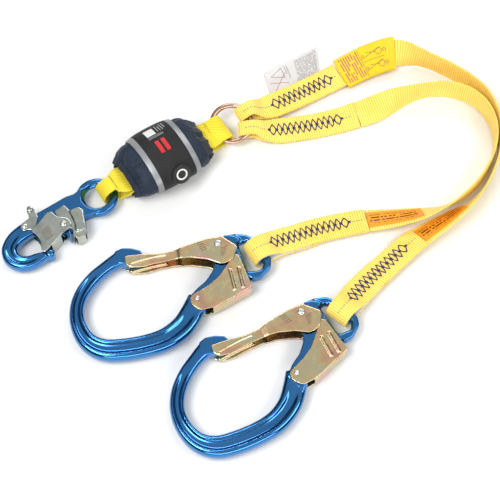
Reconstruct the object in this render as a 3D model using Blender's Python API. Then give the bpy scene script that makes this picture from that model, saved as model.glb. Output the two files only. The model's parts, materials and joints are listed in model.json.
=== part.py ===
"""Twin-leg shock absorbing lanyard, laid out flat, as an assembly of separate pieces.

Two yellow webbing legs run from a steel ring to two aluminium rebar hooks. A covered energy
absorber joins the ring to a self-locking snap hook. Outlines and places below are in
millimetres and become metres when a mesh is made. Each hook is modelled in its own flat frame,
with its gate rivet at the origin and its middle plane at z = 0, and is placed by an empty
that stands on the bar it swings about. The floor is z = 0.
"""
import math

import bmesh
import bpy
import numpy as np
from mathutils import Matrix, Vector

MM = 0.001
GAP = 0.3                       # air left between pieces that touch

# ---- placing the whole layout: its base centre is the origin ----
LAYOUT_SHIFT = (15.11, -16.42, 0.0)

# ---- webbing ----
LEG_WIDTH = 30.0
LEG_PLY = 2.2
PAD_PLY = 1.0                   # white wear pad inside the hook loops
ABSORBER_WIDTH = 35.0
ABSORBER_PLY = 2.6
TAB_WIDTH = 21.0
LABEL_PLY = 0.6

# ---- connector ring ----
RING_CENTRE = (-21.0, 153.0, 15.5)
RING_RADIUS = 22.0              # to the middle of the wire
RING_WIRE = 3.0                 # radius of the wire
RING_TILT = 12.0                # degrees, far side raised

# ---- rebar hook ----
HOOK_A_RIVET = (52.9, -84.6)    # gate rivet of the hook on the outer leg
HOOK_A_ANGLE = 20.9
HOOK_B_RIVET = (-34.0, -4.0)
HOOK_B_ANGLE = 7.6
HOOK_MID_Z = 12.3               # height of the middle plane above the floor
LEVER_RIVET = (-29.0, -60.4)
EYE_BAR = (42.0, -10.2)         # middle of the straight bar that the webbing goes round
EYE_BAR_ANGLE = -59.7           # direction of that bar in the hook's frame
SHANK_HALF = 7.0
EYE_HALF = 5.0
TONGUE_HALF = 6.5
LEVER_IN, LEVER_OUT = 7.3, 8.8
GATE_TIP_IN, GATE_TIP_OUT = 7.2, 9.0
GATE_IN, GATE_OUT = 9.1, 10.9
GATE_SHEET = 1.8
HEAD_TOP = 12.3
RIVET_SHAFT = 2.6

# ---- snap hook ----
SNAP_RIVET = (-199.9, 20.7)
SNAP_ANGLE = 36.0
SNAP_MID_Z = 11.4
SNAP_EYE = (48.5, 11.5)
SNAP_EYE_OUTER, SNAP_EYE_HOLE = 23.5, 13.5
SNAP_HALF = 6.3
SNAP_BOW_HALF = 7.0
SNAP_LEVER_IN, SNAP_LEVER_OUT = 6.7, 8.1
SNAP_GATE_IN, SNAP_GATE_OUT = 8.5, 10.0
SNAP_HEAD_TOP = 11.4
LATCH_RIVET = (-35.3, 22.5)
ROLLER = (-19.6, 37.6)
ROLLER_RADIUS = 3.9
NOSE_BALL = (-30.0, -19.5)

# ---- energy absorber ----
PACK_CENTRE = (-95.8, 105.0)
PACK_ANGLE = 33.2
PACK_BLOCK = (76.0, 35.0, 20.0, 21.0)    # folded tear webbing: length, width, height, middle z
COVER_HALF_LENGTH = 50.0
COVER_HALF = (37.0, 23.0)       # half width and half height at the middle
MOUTH_HALF = (23.5, 11.6)
HOOK_LOOP_LIFT = 1.7            # the loop's middle is above the hook's, which lies on the floor
MOUTH_LIFT = 0.36               # how far the mouths rise as the cover narrows
COVER_WALL = 1.2
BAND_HALF_LENGTH = 20.5
STRIP_END = 27.0
BAND_WALL = 1.2
ROUND_TAB = (2.0, 70.0, 11.0, 1.6)       # place along the pack, degrees from its top, radius, depth


# ------------------------------------------------------------------ small geometry
def unit(vector):
    return Vector(vector).normalized()


def turn(point, degrees):
    """A flat point turned about the origin."""
    angle = math.radians(degrees)
    x, y = point
    return (x * math.cos(angle) - y * math.sin(angle), x * math.sin(angle) + y * math.cos(angle))


def smooth_path(points, steps):
    """A Catmull-Rom curve through points of any dimension, steps pieces between each two."""
    rows = [np.array(p, dtype=float) for p in points]
    rows = [2 * rows[0] - rows[1]] + rows + [2 * rows[-1] - rows[-2]]
    out = []
    for a, b, c, d in zip(rows, rows[1:], rows[2:], rows[3:]):
        for k in range(steps):
            t = k / steps
            out.append(0.5 * (2 * b + (c - a) * t + (2 * a - 5 * b + 4 * c - d) * t * t
                              + (3 * b - a - 3 * c + d) * t ** 3))
    out.append(rows[-2])
    return out


def even_path(points, spacing):
    """The smooth curve through points, cut into equal steps of about the given length."""
    fine = smooth_path(points, 16)
    lengths = [0.0]
    for a, b in zip(fine, fine[1:]):
        lengths.append(lengths[-1] + float(np.linalg.norm(b[:3] - a[:3])))
    count = max(2, round(lengths[-1] / spacing))
    marks = np.linspace(0, lengths[-1], count + 1)
    columns = [np.interp(marks, lengths, [row[i] for row in fine]) for i in range(len(fine[0]))]
    return [np.array(values) for values in zip(*columns)]


def fillet(corners):
    """An outline from (x, y, radius) corners: each corner becomes an arc of that radius."""
    out = []
    count = len(corners)
    for i, (x, y, radius) in enumerate(corners):
        here = Vector((x, y))
        before = Vector(corners[i - 1][:2]) - here
        after = Vector(corners[(i + 1) % count][:2]) - here
        half = before.angle(after) / 2
        if radius <= 0 or half > math.radians(88):
            out.append((x, y))
            continue
        reach = min(radius / math.tan(half), 0.49 * before.length, 0.49 * after.length)
        bulge = reach * math.tan(half)
        centre = here + (before.normalized() + after.normalized()).normalized() * (
            bulge / math.sin(half))
        start = here + before.normalized() * reach - centre
        end = here + after.normalized() * reach - centre
        sweep = start.angle_signed(end)
        steps = max(1, min(3, round(abs(sweep) * math.sqrt(radius) / 2.0)))
        for k in range(steps + 1):
            arm = start.copy()
            arm.rotate(Matrix.Rotation(-sweep * k / steps, 2))
            out.append(tuple(centre + arm))
    return out


def circle(centre, radius, count=16, start=0.0, end=360.0):
    """Points along a circle or, with both angles given, along an arc with both its ends."""
    full = abs(end - start) >= 360
    steps = count if full else count - 1
    angles = [math.radians(start + (end - start) * k / steps) for k in range(count)]
    return [(centre[0] + radius * math.cos(a), centre[1] + radius * math.sin(a)) for a in angles]


def grown(outline, distance):
    """The outline moved outwards by a distance; inwards when it is negative."""
    area = sum(a[0] * b[1] - b[0] * a[1] for a, b in zip(outline, outline[1:] + outline[:1]))
    side = 1.0 if area > 0 else -1.0
    out = []
    for i, point in enumerate(outline):
        here = Vector(point)
        into = (here - Vector(outline[i - 1])).normalized()
        away = (Vector(outline[(i + 1) % len(outline)]) - here).normalized()
        normal = Vector((into.y + away.y, -into.x - away.x)).normalized()
        stretch = max(0.5, abs(normal.dot(Vector((into.y, -into.x)))))
        out.append(tuple(here + normal * side * distance / stretch))
    return out


# ------------------------------------------------------------------ meshes
def loft(rings, closed=False):
    """A closed solid through rings of equally many points, capped unless it closes on itself."""
    mesh = bmesh.new()
    rows = [[mesh.verts.new(Vector(p) * MM) for p in ring] for ring in rings]
    pairs = list(zip(rows, rows[1:]))
    if closed:
        pairs.append((rows[-1], rows[0]))
    for low, high in pairs:
        for i in range(len(low)):
            j = (i + 1) % len(low)
            mesh.faces.new((low[i], low[j], high[j], high[i]))
    if not closed:
        mesh.faces.new(rows[0][::-1])
        mesh.faces.new(rows[-1])
    bmesh.ops.recalc_face_normals(mesh, faces=mesh.faces)
    return mesh


def plate(outline, low, high, chamfer=0.0):
    """An outline made thick from z = low to z = high, its edges cut back by the chamfer."""
    rings = [[(x, y, low) for x, y in grown(outline, -chamfer)]]
    if chamfer:
        rings.append([(x, y, low + chamfer) for x, y in outline])
        rings.append([(x, y, high - chamfer) for x, y in outline])
    rings.append([(x, y, high) for x, y in grown(outline, -chamfer)])
    return loft(rings)


def hole_cutter(outline, half, chamfer=0.0):
    """A cutter for a hole through a plate of that half thickness, flared at both faces."""
    past = 2.0
    rings = [[(x, y, -half - past) for x, y in grown(outline, chamfer + (past if chamfer else 0))]]
    if chamfer:
        rings.append([(x, y, -half + chamfer) for x, y in outline])
        rings.append([(x, y, half - chamfer) for x, y in outline])
    rings.append([(x, y, half + past)
                  for x, y in grown(outline, chamfer + (past if chamfer else 0))])
    return loft(rings)


def turned(centre, profile, count=12):
    """A solid of revolution about a vertical line, from (radius, z) pairs, bottom to top."""
    return loft([[(x, y, z) for x, y in circle(centre, radius, count)] for radius, z in profile])


def section(centre, side, normal, half_side, half_normal, cut):
    """Eight points of a chamfered bar's section."""
    corners = ((1, -1), (1, 1), (-1, 1), (-1, -1))
    points = []
    for s, n in corners:
        first = (s * half_side, n * (half_normal - cut))
        second = (s * (half_side - cut), n * half_normal)
        pair = (first, second) if s * n > 0 else (second, first)
        points += [Vector(centre) + side * a + normal * b for a, b in pair]
    return points


def bar(rows, cut_share=0.34):
    """A flat-lying chamfered bar along rows of (x, y, width, thickness)."""
    rings = []
    for i, row in enumerate(rows):
        ahead = rows[min(i + 1, len(rows) - 1)]
        behind = rows[max(i - 1, 0)]
        tangent = unit((ahead[0] - behind[0], ahead[1] - behind[1], 0))
        side = Vector((tangent.y, -tangent.x, 0))
        cut = cut_share * min(row[2], row[3])
        rings.append(section((row[0], row[1], 0), side, Vector((0, 0, 1)),
                             row[2] / 2, row[3] / 2, cut))
    return loft(rings)


def wire(points, radius, sides=6):
    """A round wire along 3-D points, with flat ends."""
    rings = []
    for i, point in enumerate(points):
        tangent = unit(Vector(points[min(i + 1, len(points) - 1)]) - Vector(points[max(i - 1, 0)]))
        side = unit(tangent.cross(Vector((0, 0, 1)))) if abs(tangent.z) < 0.9 else Vector((1, 0, 0))
        up = side.cross(tangent)
        rings.append([Vector(point) + side * radius * math.cos(a) + up * radius * math.sin(a)
                      for a in (math.tau * k / sides for k in range(sides))])
    return loft(rings)


def ribbon(stations, thickness):
    """A strip of webbing through stations of (point, side vector, width)."""
    rings = []
    for i, (point, side, width) in enumerate(stations):
        ahead = stations[min(i + 1, len(stations) - 1)][0]
        behind = stations[max(i - 1, 0)][0]
        tangent = unit(ahead - behind)
        across = unit(side - tangent * side.dot(tangent))
        normal = across.cross(tangent)
        w, t = across * width / 2, normal * thickness / 2
        rings.append([point + w + t, point - w + t, point - w - t, point + w - t])
    return loft(rings)


# ------------------------------------------------------------------ objects
def clear_scene():
    for item in list(bpy.data.objects):
        bpy.data.objects.remove(item)


def material(name, colour, roughness, metallic=0.0):
    made = bpy.data.materials.get(name)
    if made is None:
        made = bpy.data.materials.new(name)
        made.use_nodes = True
        shader = made.node_tree.nodes["Principled BSDF"]
        shader.inputs["Base Color"].default_value = (*colour, 1)
        shader.inputs["Roughness"].default_value = roughness
        shader.inputs["Metallic"].default_value = metallic
    return made


PAINTS = {
    "blue_anodised": ((0.02, 0.14, 0.48), 0.28, 1.0),
    "gold_zinc": ((0.62, 0.50, 0.30), 0.36, 1.0),
    "silver_zinc": ((0.60, 0.62, 0.58), 0.38, 1.0),
    "rivet_steel": ((0.62, 0.62, 0.60), 0.30, 1.0),
    "spring_steel": ((0.45, 0.43, 0.36), 0.35, 1.0),
    "ring_steel": ((0.45, 0.36, 0.28), 0.25, 1.0),
    "yellow_webbing": ((0.95, 0.70, 0.10), 0.80),
    "absorber_webbing": ((0.93, 0.80, 0.04), 0.75),
    "white_pad": ((0.86, 0.85, 0.82), 0.80),
    "orange_label": ((0.95, 0.45, 0.02), 0.55),
    "yellow_label": ((0.98, 0.72, 0.02), 0.50),
    "white_label": ((0.80, 0.78, 0.76), 0.60),
    "navy_nylon": ((0.03, 0.05, 0.09), 0.70),
    "black_band": ((0.02, 0.02, 0.02), 0.60),
    "grey_reflective": ((0.42, 0.43, 0.45), 0.40),
    "black_rubber": ((0.03, 0.03, 0.03), 0.60),
}


def piece(name, mesh, paint, parent=None, offset=(0, 0, 0)):
    """Make one named object from a mesh; offset is where the mesh's origin is in the parent."""
    data = bpy.data.meshes.new(name)
    mesh.to_mesh(data)
    mesh.free()
    data.materials.append(material(paint, *PAINTS[paint]))
    made = bpy.data.objects.new(name, data)
    bpy.context.scene.collection.objects.link(made)
    made.parent = parent
    made.location = Vector(offset) * MM
    return made


def combine(base, name, mesh, operation):
    """Join a helper solid to an object, or cut it out, with a Boolean modifier."""
    helper = bpy.data.objects.new(name, bpy.data.meshes.new(name))
    mesh.to_mesh(helper.data)
    mesh.free()
    bpy.context.scene.collection.objects.link(helper)
    helper.parent = base.parent
    helper.location = base.location
    helper.hide_render = True
    helper.display_type = "WIRE"
    modifier = base.modifiers.new(name, "BOOLEAN")
    modifier.operation = operation
    modifier.solver = "EXACT"
    modifier.object = helper


def empty(name, location, angle=0.0, parent=None, tilt=0.0):
    made = bpy.data.objects.new(name, None)
    made.empty_display_size = 0.01
    bpy.context.scene.collection.objects.link(made)
    made.parent = parent
    made.location = Vector(location) * MM
    made.rotation_euler = (math.radians(tilt), 0, math.radians(angle))
    return made


def round_off(mesh_object, angle=40.0):
    mesh_object.data.shade_smooth()
    mesh_object.data.set_sharp_from_angle(angle=math.radians(angle))


# ------------------------------------------------------------------ rivets and springs
def rivet(centre, shaft, head, inner, outer):
    """A rivet with two domed heads: shaft radius, head radius, head's inner and outer height."""
    profile = [(head * 0.55, -outer), (head * 0.9, -outer + 0.4), (head, -inner - GAP),
               (shaft, -inner - GAP), (shaft, inner + GAP), (head, inner + GAP),
               (head * 0.9, outer - 0.4), (head * 0.55, outer)]
    return turned(centre, profile)


def torsion_spring(centre, radius, wire_radius, low, turns, leg, leg_angle):
    """A coil round a rivet; with a leg length, one end runs out to the sheet it pushes."""
    per_turn = 10
    rise = 2 * wire_radius + 0.15
    angles = [k / per_turn * math.tau for k in range(int(turns * per_turn) + 1)]
    end = math.radians(leg_angle)
    points = [(centre[0] + radius * math.cos(end - angles[-1] + a),
               centre[1] + radius * math.sin(end - angles[-1] + a),
               low + wire_radius + rise * a / math.tau) for a in angles]
    along = Vector((-math.sin(end), math.cos(end), 0))
    last = Vector(points[-1])
    if leg:
        points += [tuple(last + along * leg * share) for share in (0.15, 1.0)]
    return wire(points, wire_radius)


# ------------------------------------------------------------------ rebar hook
BOW_LINE = (                     # x, y, width, thickness along the bow's middle
    (-104.5, 0.5, 17.5, 13.5),
    (-119.0, -8.0, 14.5, 14.5),
    (-134.5, -20.0, 15.0, 15.5),
    (-147.5, -36.0, 15.5, 17.0),
    (-154.5, -54.0, 15.5, 17.0),
    (-154.0, -73.5, 17.0, 17.0),
    (-146.0, -91.5, 19.5, 17.0),
    (-131.0, -102.3, 22.5, 17.0),
    (-111.0, -105.0, 23.5, 17.0),
    (-86.0, -103.7, 23.5, 17.0),
    (-65.0, -98.5, 24.0, 17.0),
    (-47.5, -87.0, 24.5, 15.5),
    (-35.5, -71.5, 24.5, 13.8),
    (-27.5, -58.0, 24.0, 13.6),
)
TONGUE = (
    (-110.0, 7.5, 3), (-101.5, 10.5, 6), (-92.0, 9.0, 8), (-82.5, 5.0, 4), (-79.2, -3.0, 4),
    (-79.6, -6.0, 3), (-84.0, -9.5, 3), (-92.0, -9.5, 4), (-103.0, -9.0, 2),
    (-112.0, -6.0, 2),
)
SHANK = (                        # clockwise from the bow's inner side to its outer side
    (-39.0, -59.0, 0), (-29.0, -48.5, 10), (-18.5, -41.0, 20), (-9.0, -29.0, 12),
    (-6.3, -16.0, 6), (-6.3, 6.2, 5.8), (6.6, 6.2, 0), (6.6, 11.6, 3), (16.0, 10.6, 4),
    (24.0, 6.0, 4), (27.0, -36.0, 4), (18.0, -39.5, 6), (6.0, -45.5, 12), (-7.0, -54.0, 16),
    (-20.0, -69.0, 6), (-30.0, -80.0, 0),
)
EYE_OUTER = (
    (8.0, 12.4, 2), (19.5, 13.0, 8), (33.0, 10.0, 12), (42.5, -1.0, 16), (54.5, -21.8, 10),
    (52.5, -32.0, 9), (41.0, -42.5, 8), (31.0, -44.0, 6), (24.0, -38.5, 3), (12.0, -20.0, 0),
    (10.0, 0.0, 0),
)
EYE_HOLE = (
    (21.6, 0.2, 2.5), (30.0, 3.2, 3.5), (45.8, -26.4, 4), (41.5, -33.5, 5), (28.0, -34.0, 3.5),
)
GATE_FLANGE = (                  # clockwise from the tip's outer corner
    (-100.0, -0.8, 1.5), (-80.0, -1.2, 30), (-62.0, -3.0, 40), (-45.0, -1.0, 40),
    (-26.0, 4.5, 40), (-10.0, 7.8, 20), (5.0, 8.4, 1.5), (20.5, -6.0, 5), (14.0, -20.0, 12),
    (2.0, -26.0, 14), (-13.0, -17.5, 14), (-31.0, -12.8, 20), (-47.0, -12.0, 30),
    (-66.0, -13.6, 20), (-80.0, -16.4, 12), (-95.0, -15.6, 5), (-100.0, -10.5, 4),
)
GATE_JOGGLE = (-46.0, -40.0)     # the flanges spread between these two places
WEB_ENDS = (-77.5, 4.6)          # the gate's back runs between these two places
LEVER_FLANGE = (
    (-28.0, -53.0, 6), (-17.0, -47.5, 12), (-5.0, -39.0, 14), (6.0, -26.0, 10),
    (14.5, -13.5, 2), (20.0, -14.5, 3), (28.8, -50.0, 3), (28.5, -54.0, 1), (-15.0, -73.0, 2),
    (-28.0, -74.5, 7), (-36.5, -66.0, 7), (-36.0, -57.0, 5),
)
LEVER_BACK = ((-13.5, -73.2), (28.5, -55.2))    # the outer face of the lever's back


def flange_heights(x, tip_height, heel_height):
    """A height that steps up across the gate's joggle."""
    low, high = GATE_JOGGLE
    share = min(1.0, max(0.0, (x - low) / (high - low)))
    return tip_height + (heel_height - tip_height) * share


def split_at(outline, places):
    """The outline with a point added wherever it crosses one of the given x places."""
    out = []
    for a, b in zip(outline, outline[1:] + outline[:1]):
        out.append(a)
        crossed = [x for x in places if min(a[0], b[0]) < x < max(a[0], b[0])]
        for x in sorted(crossed, reverse=b[0] < a[0]):
            share = (x - a[0]) / (b[0] - a[0])
            out.append((x, a[1] + share * (b[1] - a[1])))
    return out


def flange(outline, sign):
    """One flange of the gate: the part beyond the joggle lies further out than the tip."""
    mesh = bmesh.new()
    points = split_at(outline, GATE_JOGGLE)
    inner = [mesh.verts.new(Vector((x, y, sign * flange_heights(x, GATE_TIP_IN, GATE_IN))) * MM)
             for x, y in points]
    outer = [mesh.verts.new(Vector((x, y, sign * flange_heights(x, GATE_TIP_OUT, GATE_OUT))) * MM)
             for x, y in points]
    count = len(points)
    for i in range(count):
        j = (i + 1) % count
        mesh.faces.new((inner[i], inner[j], outer[j], outer[i]))
    for row in (inner, outer):
        for face in banded(points, row):
            mesh.faces.new(face)
    bmesh.ops.recalc_face_normals(mesh, faces=mesh.faces)
    return mesh


def banded(points, row):
    """Flat faces of a bent plate: one on each side of the joggle and one across it."""
    bands = ((-1e4, GATE_JOGGLE[0]), GATE_JOGGLE, (GATE_JOGGLE[1], 1e4))
    faces = []
    for low, high in bands:
        faces.append([vert for (x, _), vert in zip(points, row) if low - 1e-6 <= x <= high + 1e-6])
    return faces


def upper_edge(x, outline):
    """The gate flange's outer edge height at x."""
    best = -1e3
    for a, b in zip(outline, outline[1:] + outline[:1]):
        if min(a[0], b[0]) <= x <= max(a[0], b[0]) and a[0] != b[0]:
            share = (x - a[0]) / (b[0] - a[0])
            best = max(best, a[1] + share * (b[1] - a[1]))
    return best


def gate_back(outline):
    """The gate's back: a sheet that joins both flanges along their outer edge."""
    low, high = WEB_ENDS
    places = sorted({low, high, *GATE_JOGGLE, *np.linspace(low, high, 12)})
    rings = []
    for x in places:
        top = upper_edge(x, outline)
        reach = flange_heights(x, GATE_TIP_OUT, GATE_OUT) - 0.5
        rings.append([(x, top, reach), (x, top, -reach),
                      (x, top - GATE_SHEET, -reach), (x, top - GATE_SHEET, reach)])
    return loft(rings)


def build_rebar_gate(prefix, pivot):
    outline = fillet(GATE_FLANGE)
    gate = piece(f"{prefix}_gate", flange(outline, 1), "gold_zinc", pivot)
    combine(gate, f"{prefix}_gate_lower", flange(outline, -1), "UNION")
    combine(gate, f"{prefix}_gate_back", gate_back(outline), "UNION")
    combine(gate, f"{prefix}_gate_bore",
            turned((0, 0), [(RIVET_SHAFT + GAP, -14), (RIVET_SHAFT + GAP, 14)]), "DIFFERENCE")
    spring = torsion_spring((0, 0), 4.2, 0.6, 3.9, 1.7, 25.0, 97.0)
    piece(f"{prefix}_gate_spring", spring, "spring_steel", pivot)


def build_lock_lever(prefix, pivot):
    outline = fillet(LEVER_FLANGE)
    shift = (-LEVER_RIVET[0], -LEVER_RIVET[1], 0)
    lever = piece(f"{prefix}_lock_lever", plate(outline, LEVER_IN, LEVER_OUT), "gold_zinc",
                  pivot, shift)
    combine(lever, f"{prefix}_lever_lower", plate(outline, -LEVER_OUT, -LEVER_IN), "UNION")
    start, end = (Vector(p) for p in LEVER_BACK)
    inward = Vector((start.y - end.y, end.x - start.x)).normalized() * 2.0
    back = [tuple(p) for p in (start, end, end + inward, start + inward)]
    combine(lever, f"{prefix}_lever_back", plate(back, -LEVER_OUT + 0.2, LEVER_OUT - 0.2), "UNION")
    combine(lever, f"{prefix}_lever_bore",
            turned(LEVER_RIVET, [(2.3, -12), (2.3, 12)]), "DIFFERENCE")
    spring = torsion_spring(LEVER_RIVET, 3.4, 0.5, 4.2, 1.5, 0.0, -40.0)
    piece(f"{prefix}_lever_spring", spring, "spring_steel", pivot, shift)


def build_rebar_frame(prefix, swing, shift):
    rows = smooth_path(BOW_LINE, 2)
    frame = piece(f"{prefix}_frame", bar(rows), "blue_anodised", swing, shift)
    combine(frame, f"{prefix}_shank", plate(fillet(SHANK), -SHANK_HALF, SHANK_HALF, 0.8), "UNION")
    combine(frame, f"{prefix}_eye", plate(fillet(EYE_OUTER), -EYE_HALF, EYE_HALF, 1.8), "UNION")
    combine(frame, f"{prefix}_tongue",
            plate(fillet(TONGUE), -TONGUE_HALF, TONGUE_HALF, 0.8), "UNION")
    combine(frame, f"{prefix}_eye_hole", hole_cutter(fillet(EYE_HOLE), EYE_HALF, 1.8), "DIFFERENCE")
    pocket = turned((0, 0), [(6.9, 3.6), (6.9, 9.0)])
    combine(frame, f"{prefix}_gate_pocket", pocket, "DIFFERENCE")
    pocket = turned(LEVER_RIVET, [(5.2, 3.9), (5.2, 9.0)])
    combine(frame, f"{prefix}_lever_pocket", pocket, "DIFFERENCE")
    combine(frame, f"{prefix}_gate_bore_frame",
            turned((0, 0), [(RIVET_SHAFT + GAP, -14), (RIVET_SHAFT + GAP, 14)]), "DIFFERENCE")
    combine(frame, f"{prefix}_lever_bore_frame",
            turned(LEVER_RIVET, [(2.3, -12), (2.3, 12)]), "DIFFERENCE")
    return frame


def build_rebar_hook(prefix, rivet_place, angle):
    """One hook: an empty on the bar it swings about carries the frame, gate and lever."""
    place = hook_bar(rivet_place, angle) + Vector(LAYOUT_SHIFT)
    swing = empty(f"{prefix}_swing", place, angle)
    shift = (-EYE_BAR[0], -EYE_BAR[1], 0)
    build_rebar_frame(prefix, swing, shift)
    piece(f"{prefix}_gate_rivet", rivet((0, 0), RIVET_SHAFT, 3.8, GATE_OUT, HEAD_TOP),
          "rivet_steel", swing, shift)
    piece(f"{prefix}_lever_rivet", rivet(LEVER_RIVET, 2.0, 2.7, LEVER_OUT, 10.3),
          "rivet_steel", swing, shift)
    gate_pivot = empty(f"{prefix}_gate_pivot", shift, parent=swing)
    build_rebar_gate(prefix, gate_pivot)
    lever_place = (LEVER_RIVET[0] + shift[0], LEVER_RIVET[1] + shift[1], 0)
    lever_pivot = empty(f"{prefix}_lever_pivot", lever_place, parent=swing)
    build_lock_lever(prefix, lever_pivot)


# ------------------------------------------------------------------ snap hook
SNAP_BOW = (
    (-12.0, 20.5, 19.5, 12.6),
    (-26.0, 20.8, 19.0, 12.6),
    (-39.0, 20.8, 18.5, 12.6),
    (-52.0, 18.3, 17.5, 13.2),
    (-62.3, 11.0, 17.0, 14.0),
    (-65.6, 1.0, 17.0, 14.0),
    (-62.2, -8.2, 16.0, 14.0),
    (-54.0, -14.2, 14.5, 14.0),
    (-44.0, -16.2, 13.0, 13.4),
    (-36.0, -17.4, 9.5, 12.4),
    (-30.5, -18.8, 6.0, 11.4),
)
SNAP_SHANK = (
    (-24.0, 30.4, 2), (20.0, 29.8, 10), (31.0, 27.0, 10), (40.0, 31.0, 4), (44.0, -8.5, 4),
    (30.0, -4.5, 10), (20.0, -2.0, 8), (8.0, -6.0, 5), (2.6, -7.0, 3), (-1.4, -18.4, 0.8),
    (-3.0, -17.4, 0.8), (-4.6, -7.0, 4), (-8.2, -1.0, 6), (-10.0, 9.0, 5), (-24.0, 11.0, 2),
)
SNAP_FLANGE = (
    (-25.0, 16.2, 3), (-17.0, 18.6, 2), (-8.0, 22.6, 3), (-2.5, 21.0, 3), (-1.0, 12.0, 6),
    (7.6, 4.0, 6), (7.0, -7.6, 6), (-8.0, -9.0, 10), (-34.8, -18.0, 2), (-35.6, -12.4, 3),
    (-31.2, -3.0, 12), (-31.0, 5.0, 12), (-32.8, 12.0, 3), (-31.0, 15.8, 1.5),
)
SNAP_BACK = ((-23.0, -14.0), (-9.0, -9.4))
SNAP_LEVER = (
    (-1.0, 12.5, 3), (0.5, 20.5, 2), (13.0, 21.0, 2), (14.5, 11.5, 2), (25.0, 8.8, 2),
    (27.0, 3.2, 2), (15.6, -20.6, 2), (11.6, -24.4, 2), (2.6, -22.2, 2), (0.8, -17.0, 3),
    (6.5, -7.0, 4), (-5.5, -5.5, 5), (-6.0, 6.0, 5),
)
SNAP_LEVER_BACK = ((2.8, -22.3), (12.0, -24.2))
LATCH_ARM = (
    (-40.0, 24.0, 4.5), (-36.5, 27.6, 3), (-25.5, 29.0, 3), (-24.2, 37.6, 4), (-19.6, 42.2, 4.2),
    (-15.0, 37.6, 4), (-17.6, 24.5, 4), (-27.2, 13.8, 1.5), (-31.0, 14.6, 2), (-35.3, 17.8, 4),
    (-40.0, 18.6, 4),
)


def build_snap_frame(swing, shift):
    rows = smooth_path(SNAP_BOW, 2)
    frame = piece("snap_hook_frame", bar(rows, 0.3), "blue_anodised", swing, shift)
    combine(frame, "snap_shank", plate(fillet(SNAP_SHANK), -SNAP_HALF, SNAP_HALF, 0.6), "UNION")
    eye = plate(circle(SNAP_EYE, SNAP_EYE_OUTER, 24), -EYE_HALF, EYE_HALF, 2.0)
    combine(frame, "snap_eye", eye, "UNION")
    ball = turned(NOSE_BALL, [(2.5, -7.6), (4.6, -6.4), (5.2, -4.6), (5.2, 4.6), (4.6, 6.4),
                              (2.5, 7.6)], 12)
    combine(frame, "snap_nose", ball, "UNION")
    combine(frame, "snap_eye_hole",
            hole_cutter(circle(SNAP_EYE, SNAP_EYE_HOLE, 20), SNAP_HALF, 2.0), "DIFFERENCE")
    for name, place in (("snap_gate_bore", (0, 0)), ("snap_latch_bore", LATCH_RIVET)):
        combine(frame, name, turned(place, [(2.6, -14), (2.6, 14)]), "DIFFERENCE")
    combine(frame, "snap_spring_pocket", turned((0, 0), [(5.6, 3.2), (5.6, 9)]), "DIFFERENCE")


def folded(name, outline, inner, outer, back, sheet, paint, pivot, shift, bore, bore_radius):
    """Two stamped plates joined by a strip along one edge, with a bore through both."""
    made = piece(name, plate(outline, inner, outer), paint, pivot, shift)
    combine(made, f"{name}_lower", plate(outline, -outer, -inner), "UNION")
    start, end = (Vector(p) for p in back)
    inward = Vector((start.y - end.y, end.x - start.x)).normalized() * sheet
    strip = [tuple(p) for p in (start, end, end + inward, start + inward)]
    combine(made, f"{name}_back", plate(strip, -outer + 0.2, outer - 0.2), "UNION")
    combine(made, f"{name}_bore",
            turned(bore, [(bore_radius, -14), (bore_radius, 14)]), "DIFFERENCE")
    return made


def build_snap_latch(pivot, shift):
    arms = piece("snap_latch_arms", plate(fillet(LATCH_ARM), SNAP_LEVER_IN, SNAP_LEVER_OUT),
                 "silver_zinc", pivot, shift)
    combine(arms, "snap_latch_lower",
            plate(fillet(LATCH_ARM), -SNAP_LEVER_OUT, -SNAP_LEVER_IN), "UNION")
    bridge = [(-24.0, 31.9), (-16.6, 31.9), (-16.6, 33.1), (-24.0, 33.1)]
    combine(arms, "snap_latch_bridge",
            plate(bridge, -SNAP_LEVER_OUT + 0.2, SNAP_LEVER_OUT - 0.2), "UNION")
    combine(arms, "snap_latch_arm_bore",
            turned(LATCH_RIVET, [(2.6, -12), (2.6, 12)]), "DIFFERENCE")
    combine(arms, "snap_latch_roller_bore", turned(ROLLER, [(2.3, -12), (2.3, 12)]), "DIFFERENCE")
    inside = SNAP_LEVER_IN - GAP
    profile = [(2.6, -10.4), (3.6, -9.6), (3.6, -8.4), (2.0, -8.4), (2.0, -inside),
               (ROLLER_RADIUS, -inside), (ROLLER_RADIUS, inside), (2.0, inside), (2.0, 8.4),
               (3.6, 8.4), (3.6, 9.6), (2.6, 10.4)]
    piece("snap_latch_roller", turned(ROLLER, profile, 12), "silver_zinc", pivot, shift)


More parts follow.
